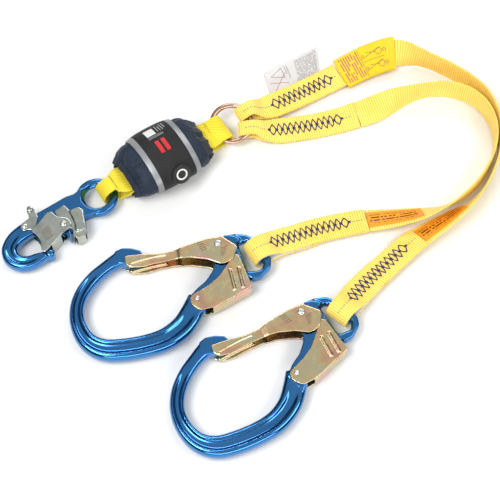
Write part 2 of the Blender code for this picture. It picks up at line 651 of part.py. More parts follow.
def build_snap_hook():
    """The hook at the absorber's free end, with gate, lock lever and latch."""
    world = snap_bar()
    swing = empty("snap_hook_swing", world + Vector(LAYOUT_SHIFT), SNAP_ANGLE)
    local = turn((world.x - SNAP_RIVET[0], world.y - SNAP_RIVET[1]), -SNAP_ANGLE)
    shift = (-local[0], -local[1], 0)
    build_snap_frame(swing, shift)
    piece("snap_gate_rivet", rivet((0, 0), 2.3, 3.5, SNAP_GATE_OUT, SNAP_HEAD_TOP),
          "rivet_steel", swing, shift)
    piece("snap_latch_rivet", rivet(LATCH_RIVET, 2.3, 3.4, SNAP_LEVER_OUT, 9.8),
          "rivet_steel", swing, shift)
    gate = empty("snap_gate_pivot", shift, parent=swing)
    folded("snap_gate", fillet(SNAP_FLANGE), SNAP_GATE_IN, SNAP_GATE_OUT, SNAP_BACK, 1.5,
           "silver_zinc", gate, (0, 0, 0), (0, 0), 2.6)
    piece("snap_gate_spring", torsion_spring((0, 0), 3.9, 0.5, 3.5, 1.5, 0.0, 250.0),
          "spring_steel", gate)
    lever = empty("snap_lever_pivot", shift, parent=swing)
    folded("snap_lock_lever", fillet(SNAP_LEVER), SNAP_LEVER_IN, SNAP_LEVER_OUT,
           SNAP_LEVER_BACK, 1.5, "silver_zinc", lever, (0, 0, 0), (0, 0), 2.6)
    latch_place = (LATCH_RIVET[0] + shift[0], LATCH_RIVET[1] + shift[1], 0)
    latch = empty("snap_latch_pivot", latch_place, parent=swing)
    build_snap_latch(latch, (-LATCH_RIVET[0], -LATCH_RIVET[1], 0))


# ------------------------------------------------------------------ ring
def build_ring():
    centre = Vector(RING_CENTRE) + Vector(LAYOUT_SHIFT)
    pivot = empty("connector_ring_axis", centre, tilt=RING_TILT)
    rings = []
    for k in range(28):
        angle = math.tau * k / 28
        out = Vector((math.cos(angle), math.sin(angle), 0))
        rings.append([out * (RING_RADIUS + RING_WIRE * math.cos(a))
                      + Vector((0, 0, RING_WIRE * math.sin(a)))
                      for a in (math.tau * i / 8 for i in range(8))])
    ring = piece("connector_ring", loft(rings, closed=True), "ring_steel", pivot)
    round_off(ring)


# ------------------------------------------------------------------ webbing routes
RING_BAR_A, RING_BAR_B, RING_BAR_PACK = 41.0, -17.0, 213.2   # degrees round the ring
RING_EXIT = 7.0                  # a strap stays in the ring's plane this far from the wire
HOOK_EXIT = 11.0                 # and straight off the hook's bar this far from it
LEG_A_ROUTE = (                  # x, y, z and roll in degrees, from the ring to the hook
    (14.0, 174.5, 13.0, 10.0), (28.0, 182.0, 9.5, 9.0), (60.0, 200.5, 6.8, 8.0),
    (97.0, 222.0, 6.8, 9.0), (108.0, 228.0, 8.4, 11.0), (140.0, 243.0, 13.5, 22.0),
    (168.0, 249.0, 18.5, 36.0), (190.0, 245.5, 17.4, 78.0), (206.0, 239.0, 16.6, 90.0),
    (230.0, 225.0, 16.4, 90.0),
    (252.0, 208.0, 16.4, 90.0), (267.5, 189.0, 16.4, 90.0), (277.0, 164.0, 16.4, 90.0),
    (279.0, 136.0, 16.4, 90.0), (273.5, 106.0, 16.4, 90.0), (261.0, 77.0, 16.3, 86.0),
    (243.0, 54.0, 15.6, 70.0), (217.0, 35.0, 12.5, 42.0), (176.0, 6.0, 8.5, 18.0),
    (140.0, -28.0, 7.5, 9.0), (118.0, -51.0, 9.2, 3.0),
)
LEG_B_ROUTE = (
    (18.0, 146.6, 10.4, 10.0), (38.0, 149.8, 6.5, 7.0), (70.0, 156.0, 5.2, 5.0),
    (101.0, 164.0, 5.4, 8.0), (116.0, 168.5, 7.0, 14.0), (130.0, 172.3, 9.2, 23.0),
    (145.0, 176.5, 12.8, 36.0), (163.0, 184.0, 15.8, 59.0), (182.0, 191.5, 16.0, 80.0),
    (200.0, 196.5, 16.4, 90.0), (219.0, 199.0, 16.4, 90.0), (237.0, 196.0, 16.4, 90.0),
    (253.0, 187.5, 16.4, 90.0), (265.5, 173.0, 16.4, 90.0), (272.5, 154.0, 16.4, 90.0),
    (273.5, 133.0, 16.4, 90.0), (268.5, 110.0, 16.4, 90.0), (258.5, 89.0, 16.4, 90.0),
    (245.0, 71.0, 16.2, 86.0), (226.0, 55.0, 15.6, 76.0), (208.0, 46.0, 14.8, 60.0),
    (185.0, 39.5, 12.4, 38.0), (158.0, 36.0, 9.2, 22.0), (124.0, 32.0, 7.2, 10.0),
    (80.0, 22.0, 7.0, 5.0), (50.0, 10.8, 8.0, 3.0), (33.0, 4.6, 9.6, 1.0),
)
STATION = 7.0                    # spacing of the stations along a leg
RING_END, HOOK_END = 18, 18      # stations in each sewn end
TAB_STATIONS = 9
SLEEVE_STATIONS = (1, 10)        # the instruction sleeve's ends, counted from the sewn end
SLEEVE_SIZE = (38.0, 5.4, 0.7)
PAD_STATIONS = 8
WARNING_TAG = ((16.0, 233.0), (79.0, 271.0), (82.0, 222.0), (27.0, 190.0))
TAG_Z = (0.5, 1.1)


def ring_point(degrees):
    """A point on the ring's wire line and its distance-free frame, in the layout."""
    angle = math.radians(degrees)
    tilt = Matrix.Rotation(math.radians(RING_TILT), 3, "X")
    out = Vector((math.cos(angle), math.sin(angle), 0))
    return Vector(RING_CENTRE) + tilt @ out * RING_RADIUS


def hook_bar(rivet_place, angle):
    """The middle of a rebar hook's eye bar, in the layout."""
    offset = turn(EYE_BAR, angle)
    return Vector((rivet_place[0] + offset[0], rivet_place[1] + offset[1], HOOK_MID_Z))


def stations_along(route, spacing):
    """(point, side vector) stations along a route of (x, y, z, roll) points."""
    rows = even_path(route, spacing)
    stations = []
    for i, row in enumerate(rows):
        ahead = Vector(rows[min(i + 1, len(rows) - 1)][:3])
        behind = Vector(rows[max(i - 1, 0)][:3])
        tangent = unit(ahead - behind)
        flat = unit(Vector((0, 0, 1)).cross(tangent))
        roll = math.radians(row[3])
        side = flat * math.cos(roll) + tangent.cross(flat) * math.sin(roll)
        stations.append((Vector(row[:3]) + Vector(LAYOUT_SHIFT), side))
    return stations


def ring_start(degrees, heading):
    """The first two route points of a strap that leaves the ring in the ring's own plane."""
    direction = Vector((*turn((1, 0), heading), 0))
    direction.z = direction.y * math.tan(math.radians(RING_TILT))
    roll = RING_TILT * math.cos(math.radians(heading))
    start = ring_point(degrees)
    return [(*start, roll), (*(start + direction * RING_EXIT), roll)]


def leg_stations(route, ring_degrees, heading, rivet_place, hook_angle, skew):
    """A whole leg from the ring's wire to the hook's bar, which it meets a little askew."""
    bar_middle = hook_bar(rivet_place, hook_angle)
    away = Vector((*turn((1, 0), hook_angle + EYE_BAR_ANGLE + 90 - skew), 0))
    end = [(*(bar_middle + away * HOOK_EXIT), 0.0), (*bar_middle, 0.0)]
    return stations_along([*ring_start(ring_degrees, heading), *route, *end], STATION)


def reversed_spine(stations):
    return [(point, -side) for point, side in reversed(stations)]


def frame_at(stations, i):
    """Tangent and normal of a leg at one of its stations."""
    tangent = unit(stations[min(i + 1, len(stations) - 1)][0] - stations[max(i - 1, 0)][0])
    return tangent, unit(tangent.cross(stations[i][1]))


# ------------------------------------------------------------------ sewn webbing
def eased(value):
    value = min(1.0, max(0.0, value))
    return value * value * (3 - 2 * value)


def sewn_end(spine, widths, ply, cavity, taper, filling=0.0, fill_reach=0.0):
    """A strap end folded round a bar and sewn back on itself, as ribbon stations.

    spine runs from the bar outwards. cavity is the half depth and half height of the space
    left for the bar. widths is (at the bar, full, distance between them). The two plies close
    up over the taper length to the filling between them, and then to nothing.
    """
    depth, height = cavity
    open_half = height + ply / 2
    filled_half = (ply + filling + GAP) / 2
    closed_half = (ply + GAP) / 2

    def offset(distance):
        filled = open_half + (filled_half - open_half) * eased(distance / taper)
        return filled + (closed_half - filled_half) * eased((distance - fill_reach) / 16.0)

    def width(distance):
        return widths[0] + (widths[1] - widths[0]) * eased(distance / widths[2])

    upper, lower = [], []
    distance = 0.0
    for i, (point, side) in enumerate(spine):
        if i:
            distance += (point - spine[i - 1][0]).length
        _, normal = frame_at(spine, i)
        reach = offset(distance) if i else open_half
        upper.append((point + normal * reach, side, width(distance)))
        lower.append((point - normal * reach, side, width(distance)))
    start, side = spine[0]
    tangent, normal = frame_at(spine, 0)
    fold = []
    for k in range(1, 7):
        angle = math.pi * k / 7
        place = start - tangent * (depth + ply / 2) * math.sin(angle)
        fold.append((place - normal * open_half * math.cos(angle), side, widths[0]))
    return lower[::-1] + fold + upper


def offset_ribbon(stations, first, last, distance, width, thickness, inset=0.0):
    """A strip that rides along a leg between two stations, off its middle by a distance."""
    rows = []
    for i in range(first, last + 1):
        tangent, normal = frame_at(stations, i)
        push = tangent * (inset if i == first else -inset if i == last else 0.0)
        rows.append((stations[i][0] + normal * distance + push, stations[i][1], width))
    return ribbon(rows, thickness)


def build_leg(letter, stations, ring_depth):
    """One leg: sewn ends, the single strap between them, wear pad and tab label."""
    count = len(stations)
    inset = 1.0
    prefix = f"leg_{letter}"
    single = -(LEG_PLY + GAP) / 2
    ring_end = sewn_end(stations[:RING_END + 1], (16.8, LEG_WIDTH, 36.0), LEG_PLY,
                        (ring_depth, 4.4), 26.0)
    piece(f"{prefix}_ring_loop", ribbon(ring_end, LEG_PLY), "yellow_webbing")
    hook_spine = reversed_spine(stations[-HOOK_END - 1:])
    filling = 2 * PAD_PLY + 2 * GAP
    hook_end = sewn_end(hook_spine, (26.0, LEG_WIDTH, 25.0), LEG_PLY, (9.4, 8.6), 26.0,
                        filling, PAD_STATIONS * STATION)
    piece(f"{prefix}_hook_loop", ribbon(hook_end, LEG_PLY), "yellow_webbing")
    margin = PAD_PLY + 3 * GAP
    pad = sewn_end(hook_spine[:PAD_STATIONS + 1], (25.4, 28.8, 25.0), PAD_PLY,
                   (9.4 - margin, 8.6 - margin), 26.0)
    piece(f"{prefix}_wear_pad", ribbon(pad, PAD_PLY), "white_pad")
    last = count - 1 - HOOK_END
    strap = offset_ribbon(stations, RING_END, last, single, LEG_WIDTH, LEG_PLY, inset)
    piece(f"{prefix}_strap", strap, "yellow_webbing")
    above = single + LEG_PLY / 2 + GAP + LABEL_PLY / 2
    tab = offset_ribbon(stations, last - TAB_STATIONS, last, above, TAB_WIDTH, LABEL_PLY, inset)
    piece(f"{prefix}_tab_label", tab, "orange_label")


def build_instruction_sleeve(stations):
    """A flat label tube round leg A's strap, just past its sewn end."""
    width, depth, wall = SLEEVE_SIZE
    outer, inner = [], []
    for i in range(RING_END + SLEEVE_STATIONS[0], RING_END + SLEEVE_STATIONS[1] + 1):
        _, normal = frame_at(stations, i)
        point, side = stations[i]
        middle = point - normal * (LEG_PLY + GAP) / 2
        outer.append(section(middle, side, normal, width / 2, depth / 2, 1.6))
        inner.append(section(middle, side, normal, width / 2 - wall, depth / 2 - wall, 1.3))
    piece("leg_a_instruction_sleeve", loft(outer + inner[::-1], closed=True), "yellow_label")


def build_warning_tag():
    outline = [(x + LAYOUT_SHIFT[0], y + LAYOUT_SHIFT[1]) for x, y in WARNING_TAG]
    piece("leg_a_warning_tag", plate(outline, *TAG_Z), "white_label")


# ------------------------------------------------------------------ energy absorber
def pack_axis():
    angle = math.radians(PACK_ANGLE)
    return Vector((math.cos(angle), math.sin(angle), 0))


def cover_size(x):
    """Half width, half height and middle height of the cover at a place along it."""
    share = 1 - min(1.0, abs(x) / COVER_HALF_LENGTH) ** 3
    half_width = MOUTH_HALF[0] + (COVER_HALF[0] - MOUTH_HALF[0]) * share
    half_height = MOUTH_HALF[1] + (COVER_HALF[1] - MOUTH_HALF[1]) * share
    middle = half_height + GAP + BAND_WALL + MOUTH_LIFT * (COVER_HALF[1] - half_height)
    return half_width, half_height, middle


def cover_ring(x, outward, count=20):
    half_width, half_height, middle = cover_size(x)
    return [(x, (half_width + outward) * math.sin(a), middle + (half_height + outward) * math.cos(a))
            for a in (math.tau * k / count for k in range(count))]


def cover_tube(places, inner, outer):
    """A tube that follows the cover's shape, between two distances from its outer face."""
    rows = [cover_ring(x, outer) for x in places] + [cover_ring(x, inner) for x in places[::-1]]
    return loft(rows, closed=True)


def build_cover(pack):
    places = [COVER_HALF_LENGTH * s for s in (-1, -0.89, -0.72, -0.48, 0, 0.48, 0.72, 0.89, 1)]
    piece("absorber_cover", cover_tube(places, -COVER_WALL, 0.0), "navy_nylon", pack)
    band = [-BAND_HALF_LENGTH, 0, BAND_HALF_LENGTH]
    piece("absorber_label_band", cover_tube(band, GAP, GAP + BAND_WALL), "black_band", pack)
    for number, sign in enumerate((-1, 1), 1):
        ends = sorted((sign * (BAND_HALF_LENGTH + GAP), sign * STRIP_END))
        strip = cover_tube(ends, GAP, GAP + BAND_WALL)
        piece(f"absorber_reflective_strip_{number}", strip, "grey_reflective", pack)
        hem = sorted((sign * (COVER_HALF_LENGTH - 5.0), sign * (COVER_HALF_LENGTH - 0.5)))
        piece(f"absorber_cover_hem_{number}", cover_tube(hem, GAP, GAP + 1.0), "navy_nylon", pack)
    along, degrees, radius, depth = ROUND_TAB
    angle = math.radians(degrees)
    half_width, half_height, middle = cover_size(along)
    normal = unit((0, -math.sin(angle) / half_width, math.cos(angle) / half_height))
    surface = Vector((along, -half_width * math.sin(angle), middle + half_height * math.cos(angle)))
    foot = surface + normal * (2 * GAP + BAND_WALL)
    across = normal.cross(Vector((1, 0, 0)))
    rings = []
    for height in (0.0, depth):
        rings.append([foot + normal * height + Vector((1, 0, 0)) * x + across * y
                      for x, y in circle((0, 0), radius, 20)])
    piece("absorber_round_tab", loft(rings), "black_rubber", pack)


def build_absorber():
    """Folded tear webbing with a loop at each end, inside a gathered cover."""
    place = Vector((*PACK_CENTRE, 0)) + Vector(LAYOUT_SHIFT)
    pack = empty("absorber_middle", place, PACK_ANGLE)
    length, width, height, middle = PACK_BLOCK
    corners = [(-length / 2, -width / 2), (length / 2, -width / 2),
               (length / 2, width / 2), (-length / 2, width / 2)]
    block = plate(corners, middle - height / 2, middle + height / 2, 1.5)
    piece("absorber_tear_webbing", block, "absorber_webbing", pack)
    build_cover(pack)
    axis = pack_axis()
    hook_bar_place = snap_bar() + Vector((0, 0, HOOK_LOOP_LIFT))
    hook_start = [(*hook_bar_place, 0.0), (*(hook_bar_place + axis * 5.0), 0.0)]
    for name, sign, start, cavity, taper, bar_width in (
            ("absorber_hook_loop", -1, hook_start, (12.6, 10.2), 24.0, 19.0),
            ("absorber_ring_loop", 1, ring_start(RING_BAR_PACK, RING_BAR_PACK), (12.9, 6.4),
             20.0, 31.0)):
        end = Vector((*PACK_CENTRE, middle - 3.0)) + axis * sign * (length / 2 + 2.2)
        mouth = end + axis * sign * 11.0 - Vector((0, 0, 1.5))
        spine = stations_along([*start, (*mouth, 0.0), (*end, 0.0)], 4.0)
        rows = sewn_end(spine, (bar_width, ABSORBER_WIDTH - 1.0, 16.0), ABSORBER_PLY, cavity, taper)
        piece(name, ribbon(rows, ABSORBER_PLY), "absorber_webbing")


def snap_bar():
    """Where the absorber's loop goes round the snap hook's eye, in the layout."""
    eye = turn(SNAP_EYE, SNAP_ANGLE)
    reach = (SNAP_EYE_OUTER + SNAP_EYE_HOLE) / 2
    place = Vector((SNAP_RIVET[0] + eye[0], SNAP_RIVET[1] + eye[1], SNAP_MID_Z))
    return place + pack_axis() * reach


def main():
    clear_scene()
    leg_a = leg_stations(LEG_A_ROUTE, RING_BAR_A, 28.0, HOOK_A_RIVET, HOOK_A_ANGLE, 0.0)
    leg_b = leg_stations(LEG_B_ROUTE, RING_BAR_B, 3.0, HOOK_B_RIVET, HOOK_B_ANGLE, 8.0)
    build_leg("a", leg_a, 9.8)
    build_leg("b", leg_b, 11.5)
    build_instruction_sleeve(leg_a)
    build_warning_tag()
    build_absorber()
    build_ring()
    build_snap_hook()
    build_rebar_hook("rebar_hook_a", HOOK_A_RIVET, HOOK_A_ANGLE)
    build_rebar_hook("rebar_hook_b", HOOK_B_RIVET, HOOK_B_ANGLE)


main()
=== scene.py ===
"""Looks for the shock absorbing lanyard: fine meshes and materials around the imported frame.

Lengths in the tables and builders below are millimetres. loft(), grid() and metres() turn them
into metres. Every hook is made in its own flat frame, with its gate rivet at the origin
and its middle plane at z = 0, and is put where the frame's joints say.
"""
import json
import math

import bmesh
import bpy
import numpy as np
from mathutils import Matrix, Vector


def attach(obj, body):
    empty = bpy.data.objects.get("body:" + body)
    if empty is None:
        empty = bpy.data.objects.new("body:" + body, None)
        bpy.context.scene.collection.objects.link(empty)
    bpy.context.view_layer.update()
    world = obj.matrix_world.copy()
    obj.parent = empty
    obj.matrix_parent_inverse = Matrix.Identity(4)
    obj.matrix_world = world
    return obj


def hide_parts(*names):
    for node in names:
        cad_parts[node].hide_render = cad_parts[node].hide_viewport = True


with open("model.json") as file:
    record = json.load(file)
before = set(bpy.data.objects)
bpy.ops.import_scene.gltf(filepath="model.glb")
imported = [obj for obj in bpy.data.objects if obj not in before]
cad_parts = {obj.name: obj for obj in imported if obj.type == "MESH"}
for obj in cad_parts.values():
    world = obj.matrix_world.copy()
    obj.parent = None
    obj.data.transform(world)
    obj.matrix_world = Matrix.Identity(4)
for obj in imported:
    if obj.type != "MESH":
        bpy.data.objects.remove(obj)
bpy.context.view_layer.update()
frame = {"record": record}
JOINTS = {joint["name"]: joint for joint in frame["record"]["behaviour"]["joints"]}
MM = 0.001
GAP = 0.3

# ---- sizes and places, as in the CAD source ----
LAYOUT_SHIFT = (15.11, -16.42, 0.0)
LEG_WIDTH, LEG_PLY, PAD_PLY = 30.0, 2.2, 1.0
ABSORBER_WIDTH, ABSORBER_PLY = 35.0, 2.6
TAB_WIDTH, LABEL_PLY = 21.0, 0.6
RING_CENTRE, RING_RADIUS, RING_WIRE, RING_TILT = (-21.0, 153.0, 15.5), 22.0, 3.0, 12.0
EYE_BAR_ANGLE = -59.7
HOOK_A_ANGLE, HOOK_B_ANGLE, SNAP_ANGLE = 20.9, 7.6, 36.0
SNAP_EYE, SNAP_EYE_OUTER, SNAP_EYE_HOLE = (48.5, 11.5), 23.5, 13.5
PACK_CENTRE, PACK_ANGLE = (-95.8, 105.0), 33.2
PACK_BLOCK = (76.0, 35.0, 20.0, 21.0)
COVER_HALF_LENGTH, COVER_HALF, MOUTH_HALF, MOUTH_LIFT = 50.0, (37.0, 23.0), (23.5, 11.6), 0.36
BAND_HALF_LENGTH, STRIP_END, BAND_WALL = 20.5, 27.0, 1.2
HOOK_LOOP_LIFT = 1.7

# ---- camera ----
VIEW_ELEVATION, VIEW_DISTANCE, LENS = 62.0, 1350.0, 90.0


# ------------------------------------------------------------------ small geometry
def unit(vector):
    return Vector(vector).normalized()


def turn(point, degrees):
    angle = math.radians(degrees)
    x, y = point
    return (x * math.cos(angle) - y * math.sin(angle), x * math.sin(angle) + y * math.cos(angle))


def smooth_path(points, steps):
    """A Catmull-Rom curve through points of any dimension, steps pieces between each two."""
    rows = [np.array(p, dtype=float) for p in points]
    rows = [2 * rows[0] - rows[1]] + rows + [2 * rows[-1] - rows[-2]]
    out = []
    for a, b, c, d in zip(rows, rows[1:], rows[2:], rows[3:]):
        for k in range(steps):
            t = k / steps
            out.append(0.5 * (2 * b + (c - a) * t + (2 * a - 5 * b + 4 * c - d) * t * t
                              + (3 * b - a - 3 * c + d) * t ** 3))
    out.append(rows[-2])
    return out


def fillet(corners, steps=6):
    """An outline from (x, y, radius) corners: each corner becomes an arc of that radius."""
    out = []
    count = len(corners)
    for i, (x, y, radius) in enumerate(corners):
        here = Vector((x, y))
        before = Vector(corners[i - 1][:2]) - here
        after = Vector(corners[(i + 1) % count][:2]) - here
        half = before.angle(after) / 2
        if radius <= 0 or half > math.radians(88):
            out.append((x, y))
            continue
        reach = min(radius / math.tan(half), 0.49 * before.length, 0.49 * after.length)
        bulge = reach * math.tan(half)
        centre = here + (before.normalized() + after.normalized()).normalized() * (
            bulge / math.sin(half))
        start = here + before.normalized() * reach - centre
        end = here + after.normalized() * reach - centre
        sweep = start.angle_signed(end)
        for k in range(steps + 1):
            arm = start.copy()
            arm.rotate(Matrix.Rotation(-sweep * k / steps, 2))
            out.append(tuple(centre + arm))
    return out


def circle(centre, radius, count=40):
    angles = [math.tau * k / count for k in range(count)]
    return [(centre[0] + radius * math.cos(a), centre[1] + radius * math.sin(a)) for a in angles]


def grown(outline, distance):
    """The outline moved outwards by a distance; inwards when it is negative."""
    area = sum(a[0] * b[1] - b[0] * a[1] for a, b in zip(outline, outline[1:] + outline[:1]))
    side = 1.0 if area > 0 else -1.0
    out = []
    for i, point in enumerate(outline):
        here = Vector(point)
        into = (here - Vector(outline[i - 1])).normalized()
        away = (Vector(outline[(i + 1) % len(outline)]) - here).normalized()
        normal = Vector((into.y + away.y, -into.x - away.x)).normalized()
        stretch = max(0.5, abs(normal.dot(Vector((into.y, -into.x)))))
        out.append(tuple(here + normal * side * distance / stretch))
    return out


def eased(value):
    value = min(1.0, max(0.0, value))
    return value * value * (3 - 2 * value)


# ------------------------------------------------------------------ meshes
def skin(rings, closed=False):
    """The side faces between rings of equally many points, and the rings' vertices."""
    mesh = bmesh.new()
    rows = [[mesh.verts.new(Vector(p) * MM) for p in ring] for ring in rings]
    pairs = list(zip(rows, rows[1:]))
    if closed:
        pairs.append((rows[-1], rows[0]))
    for low, high in pairs:
        for i in range(len(low)):
            j = (i + 1) % len(low)
            mesh.faces.new((low[i], low[j], high[j], high[i]))
    return mesh, rows


def loft(rings, closed=False):
    """A closed solid through rings of equally many points, capped unless it closes on itself."""
    mesh, rows = skin(rings, closed)
    if not closed:
        mesh.faces.new(rows[0][::-1])
        mesh.faces.new(rows[-1])
    bmesh.ops.recalc_face_normals(mesh, faces=mesh.faces)
    return mesh


def plate(outline, low, high, edge=0.0, steps=3):
    """An outline made thick from z = low to z = high, its edges rounded by the edge radius."""
    rings = []
    if edge:
        for k in range(steps + 1):
            angle = math.pi / 2 * k / steps
            inset = edge * (1 - math.sin(angle))
            rise = edge * (1 - math.cos(angle))
            rings.append([(x, y, low + rise) for x, y in grown(outline, -inset)])
        rings += [[(x, y, low + high - z) for x, y, z in ring] for ring in rings[::-1]]
    else:
        rings = [[(x, y, low) for x, y in outline], [(x, y, high) for x, y in outline]]
    return loft(rings)


def turned(centre, profile, count=40):
    """A solid of revolution about a vertical line, from (radius, z) pairs, bottom to top."""
    return loft([[(x, y, z) for x, y in circle(centre, radius, count)] for radius, z in profile])


def tube(points, radii, sides=8, closed=False):
    """A round tube along 3-D points; radii is one number or one for each point."""
    if not hasattr(radii, "__len__"):
        radii = [radii] * len(points)
    rings = []
    across = None
    count = len(points)
    for i, point in enumerate(points):
        ahead = points[(i + 1) % count] if closed else points[min(i + 1, count - 1)]
        behind = points[i - 1] if closed else points[max(i - 1, 0)]
        tangent = unit(Vector(ahead) - Vector(behind))
        if across is None:
            across = tangent.orthogonal().normalized()
        across = unit(across - tangent * across.dot(tangent))
        up = tangent.cross(across)
        rings.append([Vector(point) + (across * math.cos(a) + up * math.sin(a)) * radii[i]
                      for a in (math.tau * k / sides for k in range(sides))])
    return loft(rings, closed)


def joined(meshes):
    """Several bmeshes as one; they may overlap."""
    out = bmesh.new()
    for mesh in meshes:
        data = bpy.data.meshes.new("part")
        mesh.to_mesh(data)
        mesh.free()
        out.from_mesh(data)
        bpy.data.meshes.remove(data)
    return out


def new_object(name, mesh, matrix=None):
    data = bpy.data.meshes.new(name)
    mesh.to_mesh(data)
    mesh.free()
    made = bpy.data.objects.new(name, data)
    bpy.context.scene.collection.objects.link(made)
    if matrix is not None:
        made.matrix_world = matrix
    return made


def bake_modifiers(made):
    """Replace an object's mesh by what its modifiers make of it."""
    bpy.context.view_layer.update()
    evaluated = made.evaluated_get(bpy.context.evaluated_depsgraph_get())
    data = bpy.data.meshes.new_from_object(evaluated)
    made.modifiers.clear()
    made.data = data


def add_remesh(made, voxel):
    remesh = made.modifiers.new("remesh", "REMESH")
    remesh.mode = "VOXEL"
    remesh.voxel_size = voxel * MM


def forged(name, node, body, slot, matrix, parts, cuts, voxel, smooth):
    """One solid from overlapping parts less the cuts, with every edge rounded off."""
    made = new_object(name, joined(parts))
    helpers = []
    add_remesh(made, voxel)
    for mesh in cuts:
        helper = new_object(f"{name}_helper", mesh)
        helpers.append(helper)
        modifier = made.modifiers.new("cut", "BOOLEAN")
        modifier.operation = "DIFFERENCE"
        modifier.solver = "EXACT"
        modifier.object = helper
    add_remesh(made, voxel)
    rounded = made.modifiers.new("smooth", "SMOOTH")
    rounded.factor = 0.5
    rounded.iterations = smooth
    bake_modifiers(made)
    for helper in helpers:
        bpy.data.objects.remove(helper)
    made.matrix_world = matrix
    return finish_piece(made, body, slot, node)


def finish_piece(made, body, slot, *nodes, paint=None, smooth=True, sharp=None):
    """Paint a piece, hide the CAD nodes it stands for and let it ride.

    The paint is the one named after the slot unless another is given.
    """
    made.data.transform(made.matrix_world)
    made.matrix_world = Matrix.Identity(4)
    made.data.materials.clear()
    made.data.materials.append(PAINTS[paint or slot])
    if smooth:
        made.data.shade_smooth()
    if sharp:
        made.data.set_sharp_from_angle(angle=math.radians(sharp))
    if nodes:
        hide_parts(*nodes)
    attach(made, body)
    return made


def face_outwards(data):
    mesh = bmesh.new()
    mesh.from_mesh(data)
    bmesh.ops.recalc_face_normals(mesh, faces=mesh.faces)
    mesh.to_mesh(data)
    mesh.free()


def grid(name, rows, across, along, caps=True):
    """A mesh from rows of points in millimetres, with UVs in metres: across and along each row."""
    rows = np.asarray(rows, dtype=float)
    count, width = rows.shape[:2]
    i = np.arange(count - 1)[:, None]
    j = np.arange(width)[None, :]
    k = (j + 1) % width
    quads = np.stack([i * width + j, i * width + k, (i + 1) * width + k, (i + 1) * width + j], -1)
    faces = quads.reshape(-1, 4).tolist()
    if caps:
        faces.append(list(range(width))[::-1])
        faces.append([(count - 1) * width + n for n in range(width)])
    data = bpy.data.meshes.new(name)
    data.from_pydata((rows.reshape(-1, 3) * MM).tolist(), [], faces)
    layer = data.uv_layers.new(name="UVMap")
    loops = np.zeros(len(data.loops), dtype=np.int32)
    data.loops.foreach_get("vertex_index", loops)
    u = np.asarray(across)[loops % width]
    v = np.asarray(along)[loops // width]
    layer.data.foreach_set("uv", np.stack([u, v], -1).ravel() * MM)
    face_outwards(data)
    made = bpy.data.objects.new(name, data)
    bpy.context.scene.collection.objects.link(made)
    return made


# ------------------------------------------------------------------ materials
class Paint:
    """A material under construction: its Principled shader and short ways to add nodes."""

    def __init__(self, name, colour, roughness, metallic=0.0, **values):
        self.material = bpy.data.materials.new(name)
        self.material.use_nodes = True
        self.nodes = self.material.node_tree.nodes
        self.links = self.material.node_tree.links
        self.shader = self.nodes["Principled BSDF"]
        self.shader.inputs["Base Color"].default_value = (*colour, 1)
        self.shader.inputs["Roughness"].default_value = roughness
        self.shader.inputs["Metallic"].default_value = metallic
        for key, value in values.items():
            self.shader.inputs[key.replace("_", " ")].default_value = value

    def node(self, kind, **values):
        made = self.nodes.new(kind)
        for key, value in values.items():
            if key in made.inputs:
                made.inputs[key].default_value = value
            else:
                setattr(made, key, value)
        return made

    def wire(self, source, target):
        self.links.new(source, target)

    def coordinates(self, kind="Object"):
        return self.node("ShaderNodeTexCoord").outputs[kind]

    def noise(self, where, scale, detail=3.0, roughness=0.55):
        made = self.node("ShaderNodeTexNoise", Scale=scale, Detail=detail, Roughness=roughness)
        self.wire(where, made.inputs["Vector"])
        return made.outputs["Fac"]

    def math(self, operation, first, second=None, third=None):
        made = self.node("ShaderNodeMath", operation=operation)
        for socket, value in zip(made.inputs, (first, second, third)):
            if isinstance(value, (int, float)):
                socket.default_value = value
            elif value is not None:
                self.wire(value, socket)
        return made.outputs[0]

    def ramp(self, factor, stops):
        """Colours or greys at places from 0 to 1."""
        made = self.node("ShaderNodeValToRGB")
        elements = made.color_ramp.elements
        while len(elements) < len(stops):
            elements.new(0.5)
        for element, (place, colour) in zip(elements, stops):
            element.position = place
            element.color = (*colour, 1) if hasattr(colour, "__len__") else (colour,) * 3 + (1,)
        self.wire(factor, made.inputs["Fac"])
        return made.outputs["Color"]

    def mix(self, factor, first, second):
        """Blend two colours; each is a colour or a socket."""
        made = self.node("ShaderNodeMix", data_type="RGBA")
        pairs = ((made.inputs[0], factor), (made.inputs[6], first), (made.inputs[7], second))
        for socket, value in pairs:
            if isinstance(value, bpy.types.NodeSocket):
                self.wire(value, socket)
            elif isinstance(value, (int, float)):
                socket.default_value = value
            else:
                socket.default_value = (*value, 1)
        return made.outputs[2]

    def colour(self, socket):
        self.wire(socket, self.shader.inputs["Base Color"])
        return self

    def rough(self, factor, low, high):
        """Roughness between two values, from a noise."""
        spread = self.node("ShaderNodeMapRange")
        spread.inputs["From Min"].default_value = 0.3
        spread.inputs["From Max"].default_value = 0.7
        spread.inputs["To Min"].default_value = low
        spread.inputs["To Max"].default_value = high
        self.wire(factor, spread.inputs["Value"])
        self.wire(spread.outputs["Result"], self.shader.inputs["Roughness"])
        return self

    def bump(self, height, distance, strength=1.0):
        made = self.node("ShaderNodeBump", Strength=strength, Distance=distance)
        self.wire(height, made.inputs["Height"])
        self.wire(made.outputs["Normal"], self.shader.inputs["Normal"])
        return self

    def uv(self):
        """The two UV coordinates, in metres, as sockets."""
        split = self.node("ShaderNodeSeparateXYZ")
        self.wire(self.coordinates("UV"), split.inputs["Vector"])
        return split.outputs["X"], split.outputs["Y"]


